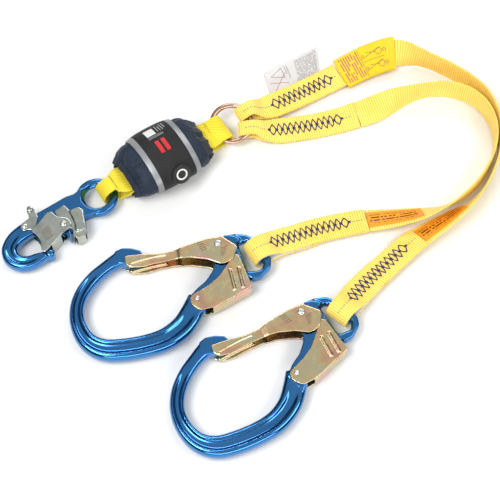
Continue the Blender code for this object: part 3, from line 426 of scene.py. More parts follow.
def webbing_paint(name, light, shade_and_stain_colour, rib, yarn, slant=0.0):
    """Woven webbing: rib and yarn are spacings, and slant turns the ribs off square. The colour is
    light on the raised ribs and darkens towards the second colour in the grooves: painted shade,
    with random stains on top.
    """
    paint = Paint(name, light, 0.72, Sheen_Weight=0.25, Sheen_Roughness=0.45,
                  Specular_IOR_Level=0.3)
    u, v = paint.uv()
    ribs = paint.math("ADD", v, paint.math("MULTIPLY", u, slant))
    wave_v = paint.math("SINE", paint.math("MULTIPLY", ribs, math.tau / rib))
    shift = paint.math("MULTIPLY", wave_v, 0.9)
    yarns = paint.math("MULTIPLY", u, math.tau / yarn)
    wave_u = paint.math("SINE", paint.math("ADD", yarns, shift))
    weave = paint.math("MULTIPLY", wave_u, 0.25)
    cover = paint.math("ADD", paint.math("MULTIPLY", wave_v, 0.75), weave)
    soil = paint.noise(paint.coordinates(), 55.0, 5.0)
    fibres = paint.noise(paint.coordinates("UV"), 2600.0, 2.0, 0.6)
    # Painted shade: the colour is darker in the weave's grooves, where the bump is low. The soil
    # noise adds random stains.
    groove = paint.math("MULTIPLY_ADD", cover, 0.42, 0.50)
    stains = paint.math("MULTIPLY", paint.math("SUBTRACT", soil, 0.5), 0.5)
    groove_shade_and_stains = paint.math("ADD", groove, stains)
    paint.colour(paint.mix(paint.ramp(groove_shade_and_stains, ((0.0, 0.0), (0.85, 1.0))), shade_and_stain_colour, light))
    height = paint.math("ADD", cover, paint.math("MULTIPLY", fibres, 0.8))
    return paint.bump(height, 0.00012, 0.75).material


def marks(paint, line, dash, fill, across_socket, along_socket):
    """A mask of short dashes in lines: generic print that spells nothing."""
    row = paint.math("FLOOR", paint.math("DIVIDE", across_socket, line))
    cell = paint.math("FLOOR", paint.math("DIVIDE", along_socket, dash))
    seed = paint.node("ShaderNodeCombineXYZ")
    paint.wire(row, seed.inputs["X"])
    paint.wire(cell, seed.inputs["Y"])
    scatter = paint.node("ShaderNodeTexWhiteNoise", noise_dimensions="3D")
    paint.wire(seed.outputs["Vector"], scatter.inputs["Vector"])
    printed = paint.math("GREATER_THAN", scatter.outputs["Value"], 1 - fill)
    place = paint.math("FRACT", paint.math("DIVIDE", across_socket, line))
    in_line = paint.math("MULTIPLY", paint.math("GREATER_THAN", place, 0.28),
                         paint.math("LESS_THAN", place, 0.72))
    return paint.math("MULTIPLY", printed, in_line)


def between(paint, socket, low, high):
    return paint.math("MULTIPLY", paint.math("GREATER_THAN", socket, low),
                      paint.math("LESS_THAN", socket, high))


def label_paint(name, ground, ink, line, dash, fill, margins, swap=False):
    """A printed label: margins are the (low, high) limits of the print across and along."""
    paint = Paint(name, ground, 0.5, Specular_IOR_Level=0.35)
    u, v = paint.uv()
    mask = marks(paint, line, dash, fill, *((v, u) if swap else (u, v)))
    for socket, (low, high) in zip((u, v), margins):
        mask = paint.math("MULTIPLY", mask, between(paint, socket, low, high))
    mottle = paint.noise(paint.coordinates(), 60.0, 4.0)
    aged = paint.mix(paint.ramp(mottle, ((0.3, 0.0), (0.75, 1.0))),
                     ground, tuple(c * 0.86 for c in ground))
    paint.colour(paint.mix(mask, aged, ink))
    weave = paint.noise(paint.coordinates(), 2200.0, 2.0)
    return paint.bump(weave, 0.00005, 0.4).material


def metal_paint(name, colours, roughness, grain, bump, metallic=1.0, scale=28.0, **values):
    """Metal with slow colour change between the given colours and fine grain."""
    paint = Paint(name, colours[0], roughness[0], metallic, **values)
    where = paint.coordinates()
    slow = paint.noise(where, scale, 2.0, 0.5)
    places = np.linspace(0.32, 0.68, len(colours)).tolist()
    paint.colour(paint.ramp(slow, list(zip(places, colours))))
    fine = paint.noise(where, grain, 3.0, 0.65)
    paint.rough(fine, *roughness)
    return paint.bump(fine, bump, 0.5).material


def cloth_paint(name, colours, thread, sheen):
    """Plain woven cloth with a crossed fine weave, whose hollows are painted a little darker as
    shade.
    """
    paint = Paint(name, colours[0], 0.62, Sheen_Weight=sheen, Sheen_Roughness=0.4,
                  Specular_IOR_Level=0.4)
    where = paint.coordinates()
    waves = []
    for direction in ((1.0, 0.55, 0.2), (-0.5, 1.0, 0.35)):
        dot = paint.node("ShaderNodeVectorMath", operation="DOT_PRODUCT")
        dot.inputs[1].default_value = direction
        paint.wire(where, dot.inputs[0])
        waves.append(paint.math("SINE", paint.math("MULTIPLY", dot.outputs["Value"],
                                                   math.tau / thread)))
    weave = paint.math("MULTIPLY", waves[0], waves[1])
    slow = paint.noise(where, 70.0, 4.0)
    # Painted shade: the weave darkens the colour a little where its bump dips. The slow noise is
    # random tone.
    blend = paint.math("ADD", slow, paint.math("MULTIPLY", weave, 0.08))
    paint.colour(paint.mix(paint.ramp(blend, ((0.3, 0.0), (0.7, 1.0))), colours[0], colours[1]))
    return paint.bump(weave, 0.00006, 0.6).material


RIB = 2.7                       # spacing of the leg webbing's cross ribs
FINE_RIB = 3.4                  # along the absorber webbing, whose ribs are slanted
PRINT = ((0.45, 0.6), 1500.0, 0.00002, 0.0)
SIMPLE_PAINTS = {               # maker and what it needs after the name
    # The webbings' second colour is the painted shade in the grooves of their weave.
    "yellow_webbing": (webbing_paint, (1.0, 0.81, 0.20), (0.86, 0.46, 0.02), RIB * MM, 1.5 * MM),
    "absorber_webbing": (webbing_paint, (1.0, 0.84, 0.05), (0.50, 0.33, 0.01), FINE_RIB * MM,
                         1.4 * MM, 1.33),
    "white_pad": (webbing_paint, (0.84, 0.83, 0.79), (0.60, 0.58, 0.52), 1.2 * MM, 1.0 * MM),
    "orange_label": (label_paint, (0.92, 0.34, 0.012), (0.10, 0.02, 0.01), 4.2 * MM, 1.35 * MM,
                     0.72, ((-0.0062, 0.0062), (0.004, 0.058))),
    "yellow_label": (label_paint, (1.0, 0.62, 0.008), (0.42, 0.10, 0.14), 3.0 * MM, 2.6 * MM,
                     0.86, ((-0.016, 0.016), (0.003, 0.027)), True),
    "white_label": (label_paint, (0.70, 0.68, 0.66), (0.22, 0.20, 0.20), 1.7 * MM, 1.3 * MM,
                    0.85, ((0.041, 0.071), (0.003, 0.036)), True),
    "navy_nylon": (cloth_paint, ((0.003, 0.009, 0.022), (0.010, 0.024, 0.050)), 0.9 * MM, 0.10),
    "navy_hem": (cloth_paint, ((0.004, 0.009, 0.022), (0.010, 0.022, 0.045)), 0.8 * MM, 0.2),
    "black_band": (cloth_paint, ((0.005, 0.005, 0.006), (0.011, 0.011, 0.012)), 0.7 * MM, 0.04),
    "gold_zinc": (metal_paint, ((0.66, 0.40, 0.27), (0.72, 0.52, 0.28), (0.60, 0.56, 0.34),
                                (0.74, 0.46, 0.36)), (0.20, 0.30), 160.0, 0.000004, 1.0, 38.0),
    "silver_zinc": (metal_paint, ((0.40, 0.43, 0.39), (0.52, 0.54, 0.50), (0.44, 0.47, 0.38)),
                    (0.18, 0.28), 160.0, 0.000004, 1.0, 60.0),
    "rivet_steel": (metal_paint, ((0.60, 0.60, 0.58), (0.70, 0.70, 0.70)), (0.20, 0.38), 1500.0,
                    0.00002, 1.0, 200.0),
    "spring_steel": (metal_paint, ((0.34, 0.32, 0.27), (0.45, 0.43, 0.38)), (0.28, 0.42), 900.0,
                     0.00002, 1.0, 120.0),
    "ring_steel": (metal_paint, ((0.55, 0.34, 0.24), (0.66, 0.46, 0.36)), (0.12, 0.26), 1200.0,
                   0.00001, 1.0, 90.0),
    "dark_etch": (metal_paint, ((0.20, 0.15, 0.10), (0.28, 0.21, 0.14)), (0.4, 0.5), 1500.0,
                  0.00001),
    "grey_reflective": (metal_paint, ((0.24, 0.25, 0.26), (0.38, 0.39, 0.40)), (0.34, 0.46),
                        2600.0, 0.00005, 0.35),
    "black_rubber": (metal_paint, ((0.012, 0.012, 0.013), (0.02, 0.02, 0.021)), (0.42, 0.6),
                     1800.0, 0.00003, 0.0),
    "white_print": (metal_paint, ((0.78, 0.78, 0.76), (0.70, 0.70, 0.68)), *PRINT),
    "red_print": (metal_paint, ((0.62, 0.012, 0.012), (0.50, 0.010, 0.010)), *PRINT),
    "dark_print": (metal_paint, ((0.10, 0.10, 0.11), (0.16, 0.16, 0.17)), *PRINT),
    "grey_print": (metal_paint, ((0.42, 0.42, 0.42), (0.36, 0.36, 0.36)), *PRINT),
}
PAINTS = {name: maker(name, *values) for name, (maker, *values) in SIMPLE_PAINTS.items()}
PAINTS |= {
    "navy_thread": Paint("navy_thread", (0.012, 0.018, 0.09), 0.55, Sheen_Weight=0.2).material,
    "green_thread": Paint("green_thread", (0.10, 0.30, 0.24), 0.6, Sheen_Weight=0.2).material,
    "blue_anodised": metal_paint("blue_anodised", ((0.034, 0.180, 0.45), (0.044, 0.205, 0.50)),
                                 (0.13, 0.19), 300.0, 0.000002, Coat_Weight=0.3,
                                 Coat_Roughness=0.08),
}


# ------------------------------------------------------------------ webbing
RING_BAR_A, RING_BAR_B, RING_BAR_PACK = 41.0, -17.0, 213.2
RING_EXIT, HOOK_EXIT = 7.0, 11.0
LEG_A_ROUTE = (                  # x, y, z and roll in degrees, from the ring to the hook
    (14.0, 174.5, 13.0, 10.0), (28.0, 182.0, 9.5, 9.0), (60.0, 200.5, 6.8, 8.0),
    (97.0, 222.0, 6.8, 9.0), (108.0, 228.0, 8.4, 11.0), (140.0, 243.0, 13.5, 22.0),
    (168.0, 249.0, 18.5, 36.0), (190.0, 245.5, 17.4, 78.0), (206.0, 239.0, 16.6, 90.0),
    (230.0, 225.0, 16.4, 90.0),
    (252.0, 208.0, 16.4, 90.0), (267.5, 189.0, 16.4, 90.0), (277.0, 164.0, 16.4, 90.0),
    (279.0, 136.0, 16.4, 90.0), (273.5, 106.0, 16.4, 90.0), (261.0, 77.0, 16.3, 86.0),
    (243.0, 54.0, 15.6, 70.0), (217.0, 35.0, 12.5, 42.0), (176.0, 6.0, 8.5, 18.0),
    (140.0, -28.0, 7.5, 9.0), (118.0, -51.0, 9.2, 3.0),
)
LEG_B_ROUTE = (
    (18.0, 146.6, 10.4, 10.0), (38.0, 149.8, 6.5, 7.0), (70.0, 156.0, 5.2, 5.0),
    (101.0, 164.0, 5.4, 8.0), (116.0, 168.5, 7.0, 14.0), (130.0, 172.3, 9.2, 23.0),
    (145.0, 176.5, 12.8, 36.0), (163.0, 184.0, 15.8, 59.0), (182.0, 191.5, 16.0, 80.0),
    (200.0, 196.5, 16.4, 90.0), (219.0, 199.0, 16.4, 90.0), (237.0, 196.0, 16.4, 90.0),
    (253.0, 187.5, 16.4, 90.0), (265.5, 173.0, 16.4, 90.0), (272.5, 154.0, 16.4, 90.0),
    (273.5, 133.0, 16.4, 90.0), (268.5, 110.0, 16.4, 90.0), (258.5, 89.0, 16.4, 90.0),
    (245.0, 71.0, 16.2, 86.0), (226.0, 55.0, 15.6, 76.0), (208.0, 46.0, 14.8, 60.0),
    (185.0, 39.5, 12.4, 38.0), (158.0, 36.0, 9.2, 22.0), (124.0, 32.0, 7.2, 10.0),
    (80.0, 22.0, 7.0, 5.0), (50.0, 10.8, 8.0, 3.0), (33.0, 4.6, 9.6, 1.0),
)
STATION = 7.0
RING_END, HOOK_END, TAB_STATIONS, PAD_STATIONS = 18, 18, 9, 8
SLEEVE_REACH, SLEEVE_SIZE = 10, (38.0, 5.4, 0.7)   # stations; width, depth and wall
WARNING_TAG = ((16.0, 233.0), (79.0, 271.0), (82.0, 222.0), (27.0, 190.0))
PARTS = 3                       # fine stations for each of the CAD's
# A sewn end's widths at the bar and in full, and the distance between them.
RING_WIDTHS, HOOK_WIDTHS, PAD_WIDTHS = (16.8, 30.0, 36.0), (26.0, 30.0, 25.0), (25.4, 28.8, 25.0)
RING_CAVITY_HEIGHT, HOOK_CAVITY, SEWN_TAPER = 4.4, (9.4, 8.6), 26.0
# Weaves: rib spacing, rib height and spacing of the mesh's rows.
PAD_WEAVE, LABEL_WEAVE = (1.2, 0.05, 0.6), (1.0, 0.0, 1.5)
FOLDED_WEAVE, ABSORBER_WEAVE = (FINE_RIB, 0.04, 0.9), (FINE_RIB, 0.05, FINE_RIB / 3)


def ring_point(degrees):
    angle = math.radians(degrees)
    tilt = Matrix.Rotation(math.radians(RING_TILT), 3, "X")
    out = Vector((math.cos(angle), math.sin(angle), 0))
    return Vector(RING_CENTRE) + tilt @ out * RING_RADIUS


def joint_place(name):
    return Vector(JOINTS[name]["pos_m"]) / MM


def stations_along(route, spacing):
    """(point, side vector) stations along a route of (x, y, z, roll) points of the layout."""
    rows = smooth_path(route, 16)
    lengths = np.concatenate([[0], np.cumsum([np.linalg.norm(b[:3] - a[:3])
                                              for a, b in zip(rows, rows[1:])])])
    count = max(2, round(lengths[-1] / spacing)) * PARTS
    marks = np.linspace(0, lengths[-1], count + 1)
    rows = np.stack([np.interp(marks, lengths, [row[i] for row in rows]) for i in range(4)], -1)
    stations = []
    for i, row in enumerate(rows):
        ahead = Vector(rows[min(i + 1, len(rows) - 1)][:3])
        behind = Vector(rows[max(i - 1, 0)][:3])
        tangent = unit(ahead - behind)
        flat = unit(Vector((0, 0, 1)).cross(tangent))
        roll = math.radians(row[3])
        side = flat * math.cos(roll) + tangent.cross(flat) * math.sin(roll)
        stations.append((Vector(row[:3]) + Vector(LAYOUT_SHIFT), side))
    return stations


def ring_start(degrees, heading):
    """The first two route points of a strap that leaves the ring in the ring's own plane."""
    direction = Vector((*turn((1, 0), heading), 0))
    direction.z = direction.y * math.tan(math.radians(RING_TILT))
    roll = RING_TILT * math.cos(math.radians(heading))
    start = ring_point(degrees)
    return [(*start, roll), (*(start + direction * RING_EXIT), roll)]


def leg_stations(route, ring_degrees, heading, hook, hook_angle, skew):
    """A whole leg from the ring's wire to the hook's bar, which it meets a little askew."""
    bar_middle = joint_place(f"{hook}_swing") - Vector(LAYOUT_SHIFT)
    away = Vector((*turn((1, 0), hook_angle + EYE_BAR_ANGLE + 90 - skew), 0))
    end = [(*(bar_middle + away * HOOK_EXIT), 0.0), (*bar_middle, 0.0)]
    return stations_along([*ring_start(ring_degrees, heading), *route, *end], STATION)


def reversed_spine(stations):
    return [(point, -side) for point, side in reversed(stations)]


def frame_at(stations, i):
    """Tangent and normal of a leg at one of its stations."""
    tangent = unit(stations[min(i + 1, len(stations) - 1)][0] - stations[max(i - 1, 0)][0])
    return tangent, unit(tangent.cross(stations[i][1]))


def sewn_end(spine, widths, ply, cavity, taper, filling=0.0, fill_reach=0.0, fold_steps=20):
    """A strap end folded round a bar and sewn back on itself, as (point, side, width) rows.

    spine runs from the bar outwards. cavity is the half depth and half height of the space
    left for the bar. widths is (at the bar, full, distance between them). The two plies close
    up over the taper length to the filling between them, and then to nothing.
    """
    depth, height = cavity
    open_half = height + ply / 2
    filled_half = (ply + filling + GAP) / 2
    closed_half = (ply + GAP) / 2
    upper, lower = [], []
    distance = 0.0
    for i, (point, side) in enumerate(spine):
        if i:
            distance += (point - spine[i - 1][0]).length
        _, normal = frame_at(spine, i)
        reach = open_half + (filled_half - open_half) * eased(distance / taper)
        reach += (closed_half - filled_half) * eased((distance - fill_reach) / 16.0)
        reach = reach if i else open_half
        width = widths[0] + (widths[1] - widths[0]) * eased(distance / widths[2])
        upper.append((point + normal * reach, side, width))
        lower.append((point - normal * reach, side, width))
    start, side = spine[0]
    tangent, normal = frame_at(spine, 0)
    fold = []
    for k in range(1, fold_steps):
        angle = math.pi * k / fold_steps
        place = start - tangent * (depth + ply / 2) * math.sin(angle)
        fold.append((place - normal * open_half * math.cos(angle), side, widths[0]))
    return lower[::-1] + fold + upper


def offset_rows(stations, first, last, distance, width, inset=0.0):
    """Rows of a strip that rides along a leg, off its middle by a distance."""
    rows = []
    for i in range(first * PARTS, last * PARTS + 1):
        tangent, normal = frame_at(stations, i)
        end = i == first * PARTS
        push = tangent * (inset if end else -inset if i == last * PARTS else 0.0)
        rows.append((stations[i][0] + normal * distance + push, stations[i][1], width))
    return rows


class Strip:
    """A strip of webbing as smooth functions of the distance along it."""

    def __init__(self, rows, thickness):
        self.thickness = thickness
        points = np.array([row[0][:] for row in rows])
        sides = np.array([row[1][:] for row in rows])
        widths = np.array([row[2] for row in rows])
        tangents = np.gradient(points, axis=0)
        tangents /= np.linalg.norm(tangents, axis=1)[:, None]
        sides -= tangents * (sides * tangents).sum(1)[:, None]
        sides /= np.linalg.norm(sides, axis=1)[:, None]
        normals = np.cross(tangents, sides)
        steps = np.linalg.norm(np.diff(points, axis=0), axis=1)
        self.lengths = np.concatenate([[0], np.cumsum(steps)])
        self.length = float(self.lengths[-1])
        self.table = np.hstack([points, sides, normals, widths[:, None]])

    def rows(self, places):
        """Point, side, normal and width at each of the places."""
        columns = [np.interp(places, self.lengths, c) for c in self.table.T]
        table = np.stack(columns, -1)
        point, side, normal = table[:, 0:3], table[:, 3:6], table[:, 6:9]
        side = side / np.linalg.norm(side, axis=1)[:, None]
        normal = normal / np.linalg.norm(normal, axis=1)[:, None]
        return point, side, normal, table[:, 9]

    def at(self, places, across, height):
        """Points at distances along, across from the middle and above the outer face."""
        point, side, normal, _ = self.rows(np.asarray(places, dtype=float))
        across = np.broadcast_to(across, len(point))[:, None]
        height = np.broadcast_to(height, len(point))[:, None]
        return point + side * across + normal * (self.thickness / 2 + height)


def web_section(width, thickness, columns=15):
    """The (across, up, flat share) outline of a strip with soft edges, anticlockwise."""
    half, round_by = width / 2, thickness / 2
    top = [(x, thickness / 2, 1.0)
           for x in np.linspace(half - round_by, -half + round_by, columns)]
    turn_left = [(-half + round_by - round_by * math.sin(a), round_by * math.cos(a), 0.4)
                 for a in (math.pi * k / 6 for k in range(1, 6))]
    bottom = [(-x, -z, f) for x, z, f in top]
    turn_right = [(-x, -z, f) for x, z, f in turn_left]
    return top + turn_left + bottom + turn_right


def build_webbing(name, strip, rib=RIB, ribbing=0.13, step=RIB / 4):
    """The mesh of a woven strip: ribs run across it and the weave waves its edges a little."""
    count = max(4, round(strip.length / step))
    places = np.linspace(0, strip.length, count + 1)
    point, side, normal, width = strip.rows(places)
    outline = np.array(web_section(width.max(), strip.thickness - 0.1))
    scale = width / width.max()
    u, up, flat = outline.T
    selvedge = 0.16 * np.sin(math.tau * places / (2 * rib) + 0.7)
    across = u[None, :] * scale[:, None]
    across += np.sign(u)[None, :] * (np.abs(u) > 0.46 * width.max())[None, :] * selvedge[:, None]
    herring = 0.5 * np.sin(np.abs(u) * math.tau / 6.0)
    ribs = ribbing * np.sin(math.tau * places[:, None] / rib + herring[None, :])
    height = up[None, :] + np.sign(up)[None, :] * ribs * flat[None, :]
    end = np.minimum(places, strip.length - places)[:, None]
    height = height * np.clip(0.55 + end / 1.2, 0.0, 1.0)
    rows = (point[:, None, :] + side[:, None, :] * across[..., None]
            + normal[:, None, :] * height[..., None])
    made = grid(name, rows, u, places)
    made.data.shade_smooth()
    return made


def webbing_piece(node, ending, slot, strip, *weave):
    """A woven strip on the lanyard's own body, which stands for the node of that name."""
    return finish_piece(build_webbing(f"{node}_{ending}", strip, *weave), "lanyard", slot, node)


def thread(points, radius, stitch=0.0, sides=5):
    """A sewing thread; with a stitch length, it is thin where it dives into the cloth."""
    points = np.asarray(points)
    steps = np.linalg.norm(np.diff(points, axis=0), axis=1)
    places = np.concatenate([[0], np.cumsum(steps)])
    radii = np.full(len(points), radius)
    if stitch:
        radii = radius * (0.55 + 0.45 * np.abs(np.sin(math.pi * places / stitch)))
    return tube([Vector(p) for p in points], radii.tolist(), sides)


DIAMOND, END_DIAMOND = (6.7, 7.6), (9.4, 6.6)     # length and half width
THREAD, KNOT_THREAD, CENTRE_THREAD = 0.58, 0.45, 0.36      # radii
STITCH, CENTRE_STITCH, CENTRE_PITCH = 2.6, 3.0, 4.2


def stitch_lattice(name, strip, start, end, body):
    """Two crossing zigzags make a row of diamonds, the first and last ones larger."""
    count = round((end - start - 2 * END_DIAMOND[0]) / DIAMOND[0])
    sizes = [END_DIAMOND] + [DIAMOND] * count + [END_DIAMOND]
    knots, across = [start], [0.0]
    for k, (length, half) in enumerate(sizes):
        knots += [knots[-1] + length / 2, knots[-1] + length]
        across += [half * (-1) ** k, 0.0]
    places = np.arange(knots[0], knots[-1], 0.8)
    wave = np.interp(places, knots, across)
    dive = np.abs(np.sin(math.pi * (places - start) / STITCH)) < 0.35
    meshes = []
    for sign in (1, -1):
        for shift in (0.0, 0.7):
            line = strip.at(places, sign * wave + shift, 0.34 - 0.28 * dive)
            meshes.append(thread(line, THREAD, STITCH))
    for place in knots[::2]:
        for shift in (-0.45, 0.35, 1.1):
            knot = strip.at(np.linspace(place - 1.8, place + 1.8, 6), shift, 0.4)
            meshes.append(thread(knot, KNOT_THREAD))
    made = new_object(name, joined(meshes))
    return finish_piece(made, body, "navy_nylon", paint="navy_thread")


def centre_thread(name, strip, runs, body):
    """Dashed lines of stitches down the middle of a strip."""
    meshes = []
    for start, end in runs:
        for place in np.arange(start, end - 2.0, CENTRE_PITCH):
            dash = strip.at(np.linspace(place, place + CENTRE_STITCH, 5), 0.0,
                            np.array([-0.15, 0.18, 0.22, 0.18, -0.15]))
            meshes.append(thread(dash, CENTRE_THREAD))
    made = new_object(name, joined(meshes))
    return finish_piece(made, body, "yellow_webbing", paint="green_thread")


def metres(points):
    return [tuple(float(c) * MM for c in point) for point in points]


# From the loop's middle: where each row of diamonds starts, and how long it is.
STITCHED = {"ring_a": (48.5, 76.5), "ring_b": (37.0, 83.5), "hook_a": (31.0, 94.0),
            "hook_b": (31.0, 94.0)}


def build_leg(letter, stations, ring_depth):
    """One leg with its sewn ends, stitching, single strap, wear pad and tab label."""
    prefix = f"leg_{letter}"
    count = (len(stations) - 1) // PARTS
    last = count - HOOK_END
    single = -(LEG_PLY + GAP) / 2
    spine = stations[:RING_END * PARTS + 1]
    rows = sewn_end(spine, RING_WIDTHS, LEG_PLY, (ring_depth, RING_CAVITY_HEIGHT), SEWN_TAPER)
    ends = {"ring": Strip(rows, LEG_PLY)}
    hook_spine = reversed_spine(stations[-HOOK_END * PARTS - 1:])
    filling = 2 * PAD_PLY + 2 * GAP
    rows = sewn_end(hook_spine, HOOK_WIDTHS, LEG_PLY, HOOK_CAVITY, SEWN_TAPER, filling,
                    PAD_STATIONS * STATION)
    ends["hook"] = Strip(rows, LEG_PLY)
    for end, strip in ends.items():
        webbing_piece(f"{prefix}_{end}_loop", "weave", "yellow_webbing", strip)
        reach, length = STITCHED[end + "_" + letter]
        half_length = strip.length / 2
        for face, spot in (("top", half_length + reach), ("bottom", half_length - reach - length)):
            stitch_lattice(f"{prefix}_{end}_stitching_{face}", strip, spot, spot + length,
                           "lanyard")
            runs = [(spot - reach + 8.0, spot - 2.0), (spot + length + 2.0, strip.length - 4.0)]
            if face == "bottom":
                runs = [(4.0, spot - 2.0), (spot + length + 2.0, half_length - 8.0)]
            centre_thread(f"{prefix}_{end}_centre_stitch_{face}", strip, runs, "lanyard")
    margin = PAD_PLY + 3 * GAP
    rows = sewn_end(hook_spine[:PAD_STATIONS * PARTS + 1], PAD_WIDTHS, PAD_PLY,
                    tuple(half - margin for half in HOOK_CAVITY), SEWN_TAPER)
    webbing_piece(f"{prefix}_wear_pad", "weave", "white_pad", Strip(rows, PAD_PLY), *PAD_WEAVE)
    strap = Strip(offset_rows(stations, RING_END, last, single, LEG_WIDTH, 1.0), LEG_PLY)
    made = webbing_piece(f"{prefix}_strap", "weave", "yellow_webbing", strap)
    above = single + LEG_PLY / 2 + GAP + LABEL_PLY / 2
    rows = offset_rows(stations, last - TAB_STATIONS, last, above, TAB_WIDTH, 1.0)
    label = webbing_piece(f"{prefix}_tab_label", "cloth", "orange_label", Strip(rows, LABEL_PLY),
                          *LABEL_WEAVE)
    path = strap.rows(np.linspace(0, strap.length, 90))[0]
    return {"strap": strap, "piece": made, "label": label, "path": metres(path)}


def build_sleeve(stations):
    """A flat printed tube of label cloth round leg A's strap, just past its sewn end."""
    width, depth, wall = SLEEVE_SIZE
    first = RING_END * PARTS + 1
    last = (RING_END + SLEEVE_REACH) * PARTS
    outline = fillet([(-width / 2, -depth / 2, 1.9), (width / 2, -depth / 2, 1.9),
                      (width / 2, depth / 2, 1.9), (-width / 2, depth / 2, 1.9)], 5)
    outline = split_long(outline, 3.0)
    inner = grown(outline, -wall)
    rows, along = [], []
    distance = 0.0
    for i in range(first, last + 1):
        _, normal = frame_at(stations, i)
        point, side = stations[i]
        middle = point - normal * (LEG_PLY + GAP) / 2
        if i > first:
            distance += (point - stations[i - 1][0]).length
        wave = 0.35 * math.sin(distance * 0.31) + 0.25 * math.sin(distance * 0.83 + 1)
        ring = []
        for loop in (outline, inner):
            ring.append([middle + side * x + normal * (z + wave * math.sin(x * 0.21 + 0.4)
                                                       * min(1, abs(x) / 6))
                         for x, z in loop])
        rows.append(ring)
        along.append(distance)
    outer = [ring[0] for ring in rows]
    under = [ring[1] for ring in rows][::-1]
    across = [x if z > 0 else -x for x, z in outline]
    made = grid("leg_a_instruction_sleeve_cloth", outer + under + outer[:1], across,
                along + along[::-1] + along[:1], caps=False)
    weld(made)
    finish_piece(made, "lanyard", "yellow_label", "leg_a_instruction_sleeve", sharp=50)

    def on_sleeve(place, x):
        i = int(np.searchsorted(along, place))
        share = (place - along[i - 1]) / (along[i] - along[i - 1])
        ends = []
        for row in (rows[i - 1][0], rows[i][0]):
            top = sorted((abs(a - x), k) for k, (a, z) in enumerate(outline) if z > depth * 0.3)
            near, other = (row[k] for _, k in top[:2])
            weight = top[1][0] / (top[0][0] + top[1][0])
            ends.append(near * weight + other * (1 - weight))
        _, up = frame_at(stations, first + i)
        return ends[0].lerp(ends[1], share) + up * 0.22

    strokes = []
    for low in (-12.5, 2.5):
        for radius, far in ((1.4, 31.0), (3.6, 50.0), (1.8, 56.5)):
            turns = np.linspace(0, math.tau, 19)
            strokes.append([(far + radius * math.cos(t), low + 4.5 + radius * math.sin(t))
                            for t in turns])
        strokes.append([(29.0 + k, low + 1.0 + 0.32 * k) for k in range(0, 25, 2)])
        strokes.append([(36.0 + k, low + 7.0 - 0.2 * k) for k in range(0, 12, 2)])
    strokes += [[(28.0, x) for x in np.linspace(-17, 17, 18)],
                [(29.0 + k, 0.0) for k in range(0, 27, 2)]]
    printed = new_object("leg_a_instruction_sleeve_print", joined(
        [tube([on_sleeve(*spot) for spot in line], 0.24, 6) for line in strokes]))
    finish_piece(printed, "lanyard", "yellow_label", paint="dark_print")
    return made


def split_long(outline, most):
    """The outline with its long straight runs cut into pieces no longer than most."""
    out = []
    for a, b in zip(outline, outline[1:] + outline[:1]):
        steps = max(1, math.ceil(math.dist(a, b) / most))
        out += [tuple(np.array(a) + (np.array(b) - np.array(a)) * k / steps)
                for k in range(steps)]
    return out


def weld(made, distance=1e-6):
    mesh = bmesh.new()
    mesh.from_mesh(made.data)
    bmesh.ops.remove_doubles(mesh, verts=mesh.verts, dist=distance)
    bmesh.ops.recalc_face_normals(mesh, faces=mesh.faces)
    mesh.to_mesh(made.data)
    mesh.free()


def sheet_from(name, corners, height, thickness, step=2.0):
    """A thin sheet over four corners, with height(u, v) for its waves, and UVs in metres."""
    a, b, c, d = (np.array(p) for p in corners)
    wide = max(2, round(math.dist(a, b) / step))
    long = max(2, round(math.dist(a, d) / step))
    section_u = np.concatenate([np.linspace(0, 1, wide + 1), np.linspace(1, 0, wide + 1)])
    lift = np.concatenate([np.full(wide + 1, thickness / 2), np.full(wide + 1, -thickness / 2)])
    rows, along = [], []
    for v in np.linspace(0, 1, long + 1):
        left, right = a + (d - a) * v, b + (c - b) * v
        row = [(*(left + (right - left) * u), height(u, v) + z)
               for u, z in zip(section_u, lift)]
        rows.append(row)
        along.append(v * math.dist(a, d))
    return grid(name, rows, section_u * math.dist(a, b), along)


TAG_MARKS = {                    # straight marks from (u, v) to (u, v) over the tag
    "dark_print": ((0.10, 0.22, 0.30, 0.10), (0.30, 0.10, 0.34, 0.42), (0.34, 0.42, 0.10, 0.22),
                   (0.40, 0.10, 0.44, 0.50), (0.36, 0.08, 0.39, 0.34), (0.90, 0.03, 0.95, 0.08)),
    "red_print": ((0.06, 0.40, 0.40, 0.62), (0.08, 0.74, 0.36, 0.28)),
}


def build_warning_tag():
    """The loose printed tag that lies under leg A's sewn end."""
    corners = [(x + LAYOUT_SHIFT[0], y + LAYOUT_SHIFT[1]) for x, y in WARNING_TAG]

    def height(u, v):
        curl = 1.1 * max(0.0, (0.22 - v) / 0.22) ** 2 * u
        return 0.7 + curl + 0.25 * (1 - math.cos(math.tau * u * 1.3)) * (1 - v)

    made = sheet_from("leg_a_warning_tag_cloth", corners, height, 0.5)
    finish_piece(made, "lanyard", "white_label", "leg_a_warning_tag", sharp=50)
    a, b, c, d = (np.array(corner) for corner in corners)

    def on_tag(u, v):
        flat = (a + (d - a) * v) * (1 - u) + (b + (c - b) * v) * u
        return (*flat, height(u, v) + 0.27)

    for name, lines in TAG_MARKS.items():
        meshes = [tube([on_tag(u + (p - u) * t, v + (q - v) * t) for t in np.linspace(0, 1, 12)],
                       0.28, 6) for u, v, p, q in lines]
        mark = new_object(f"leg_a_warning_tag_{name}", joined(meshes))
        finish_piece(mark, "lanyard", "white_label", paint=name)
    return made


# ------------------------------------------------------------------ hook hardware
SHEET_EDGE, BORE_REACH = 0.35, 14
# Voxel size of the remesh, and how many times it is smoothed.
REBAR_FORGING, REBAR_GATE, REBAR_LEVER = (0.65, 5), (0.42, 9), (0.4, 9)
SNAP_FORGING, SNAP_SHEET = (0.5, 6), (0.36, 9)


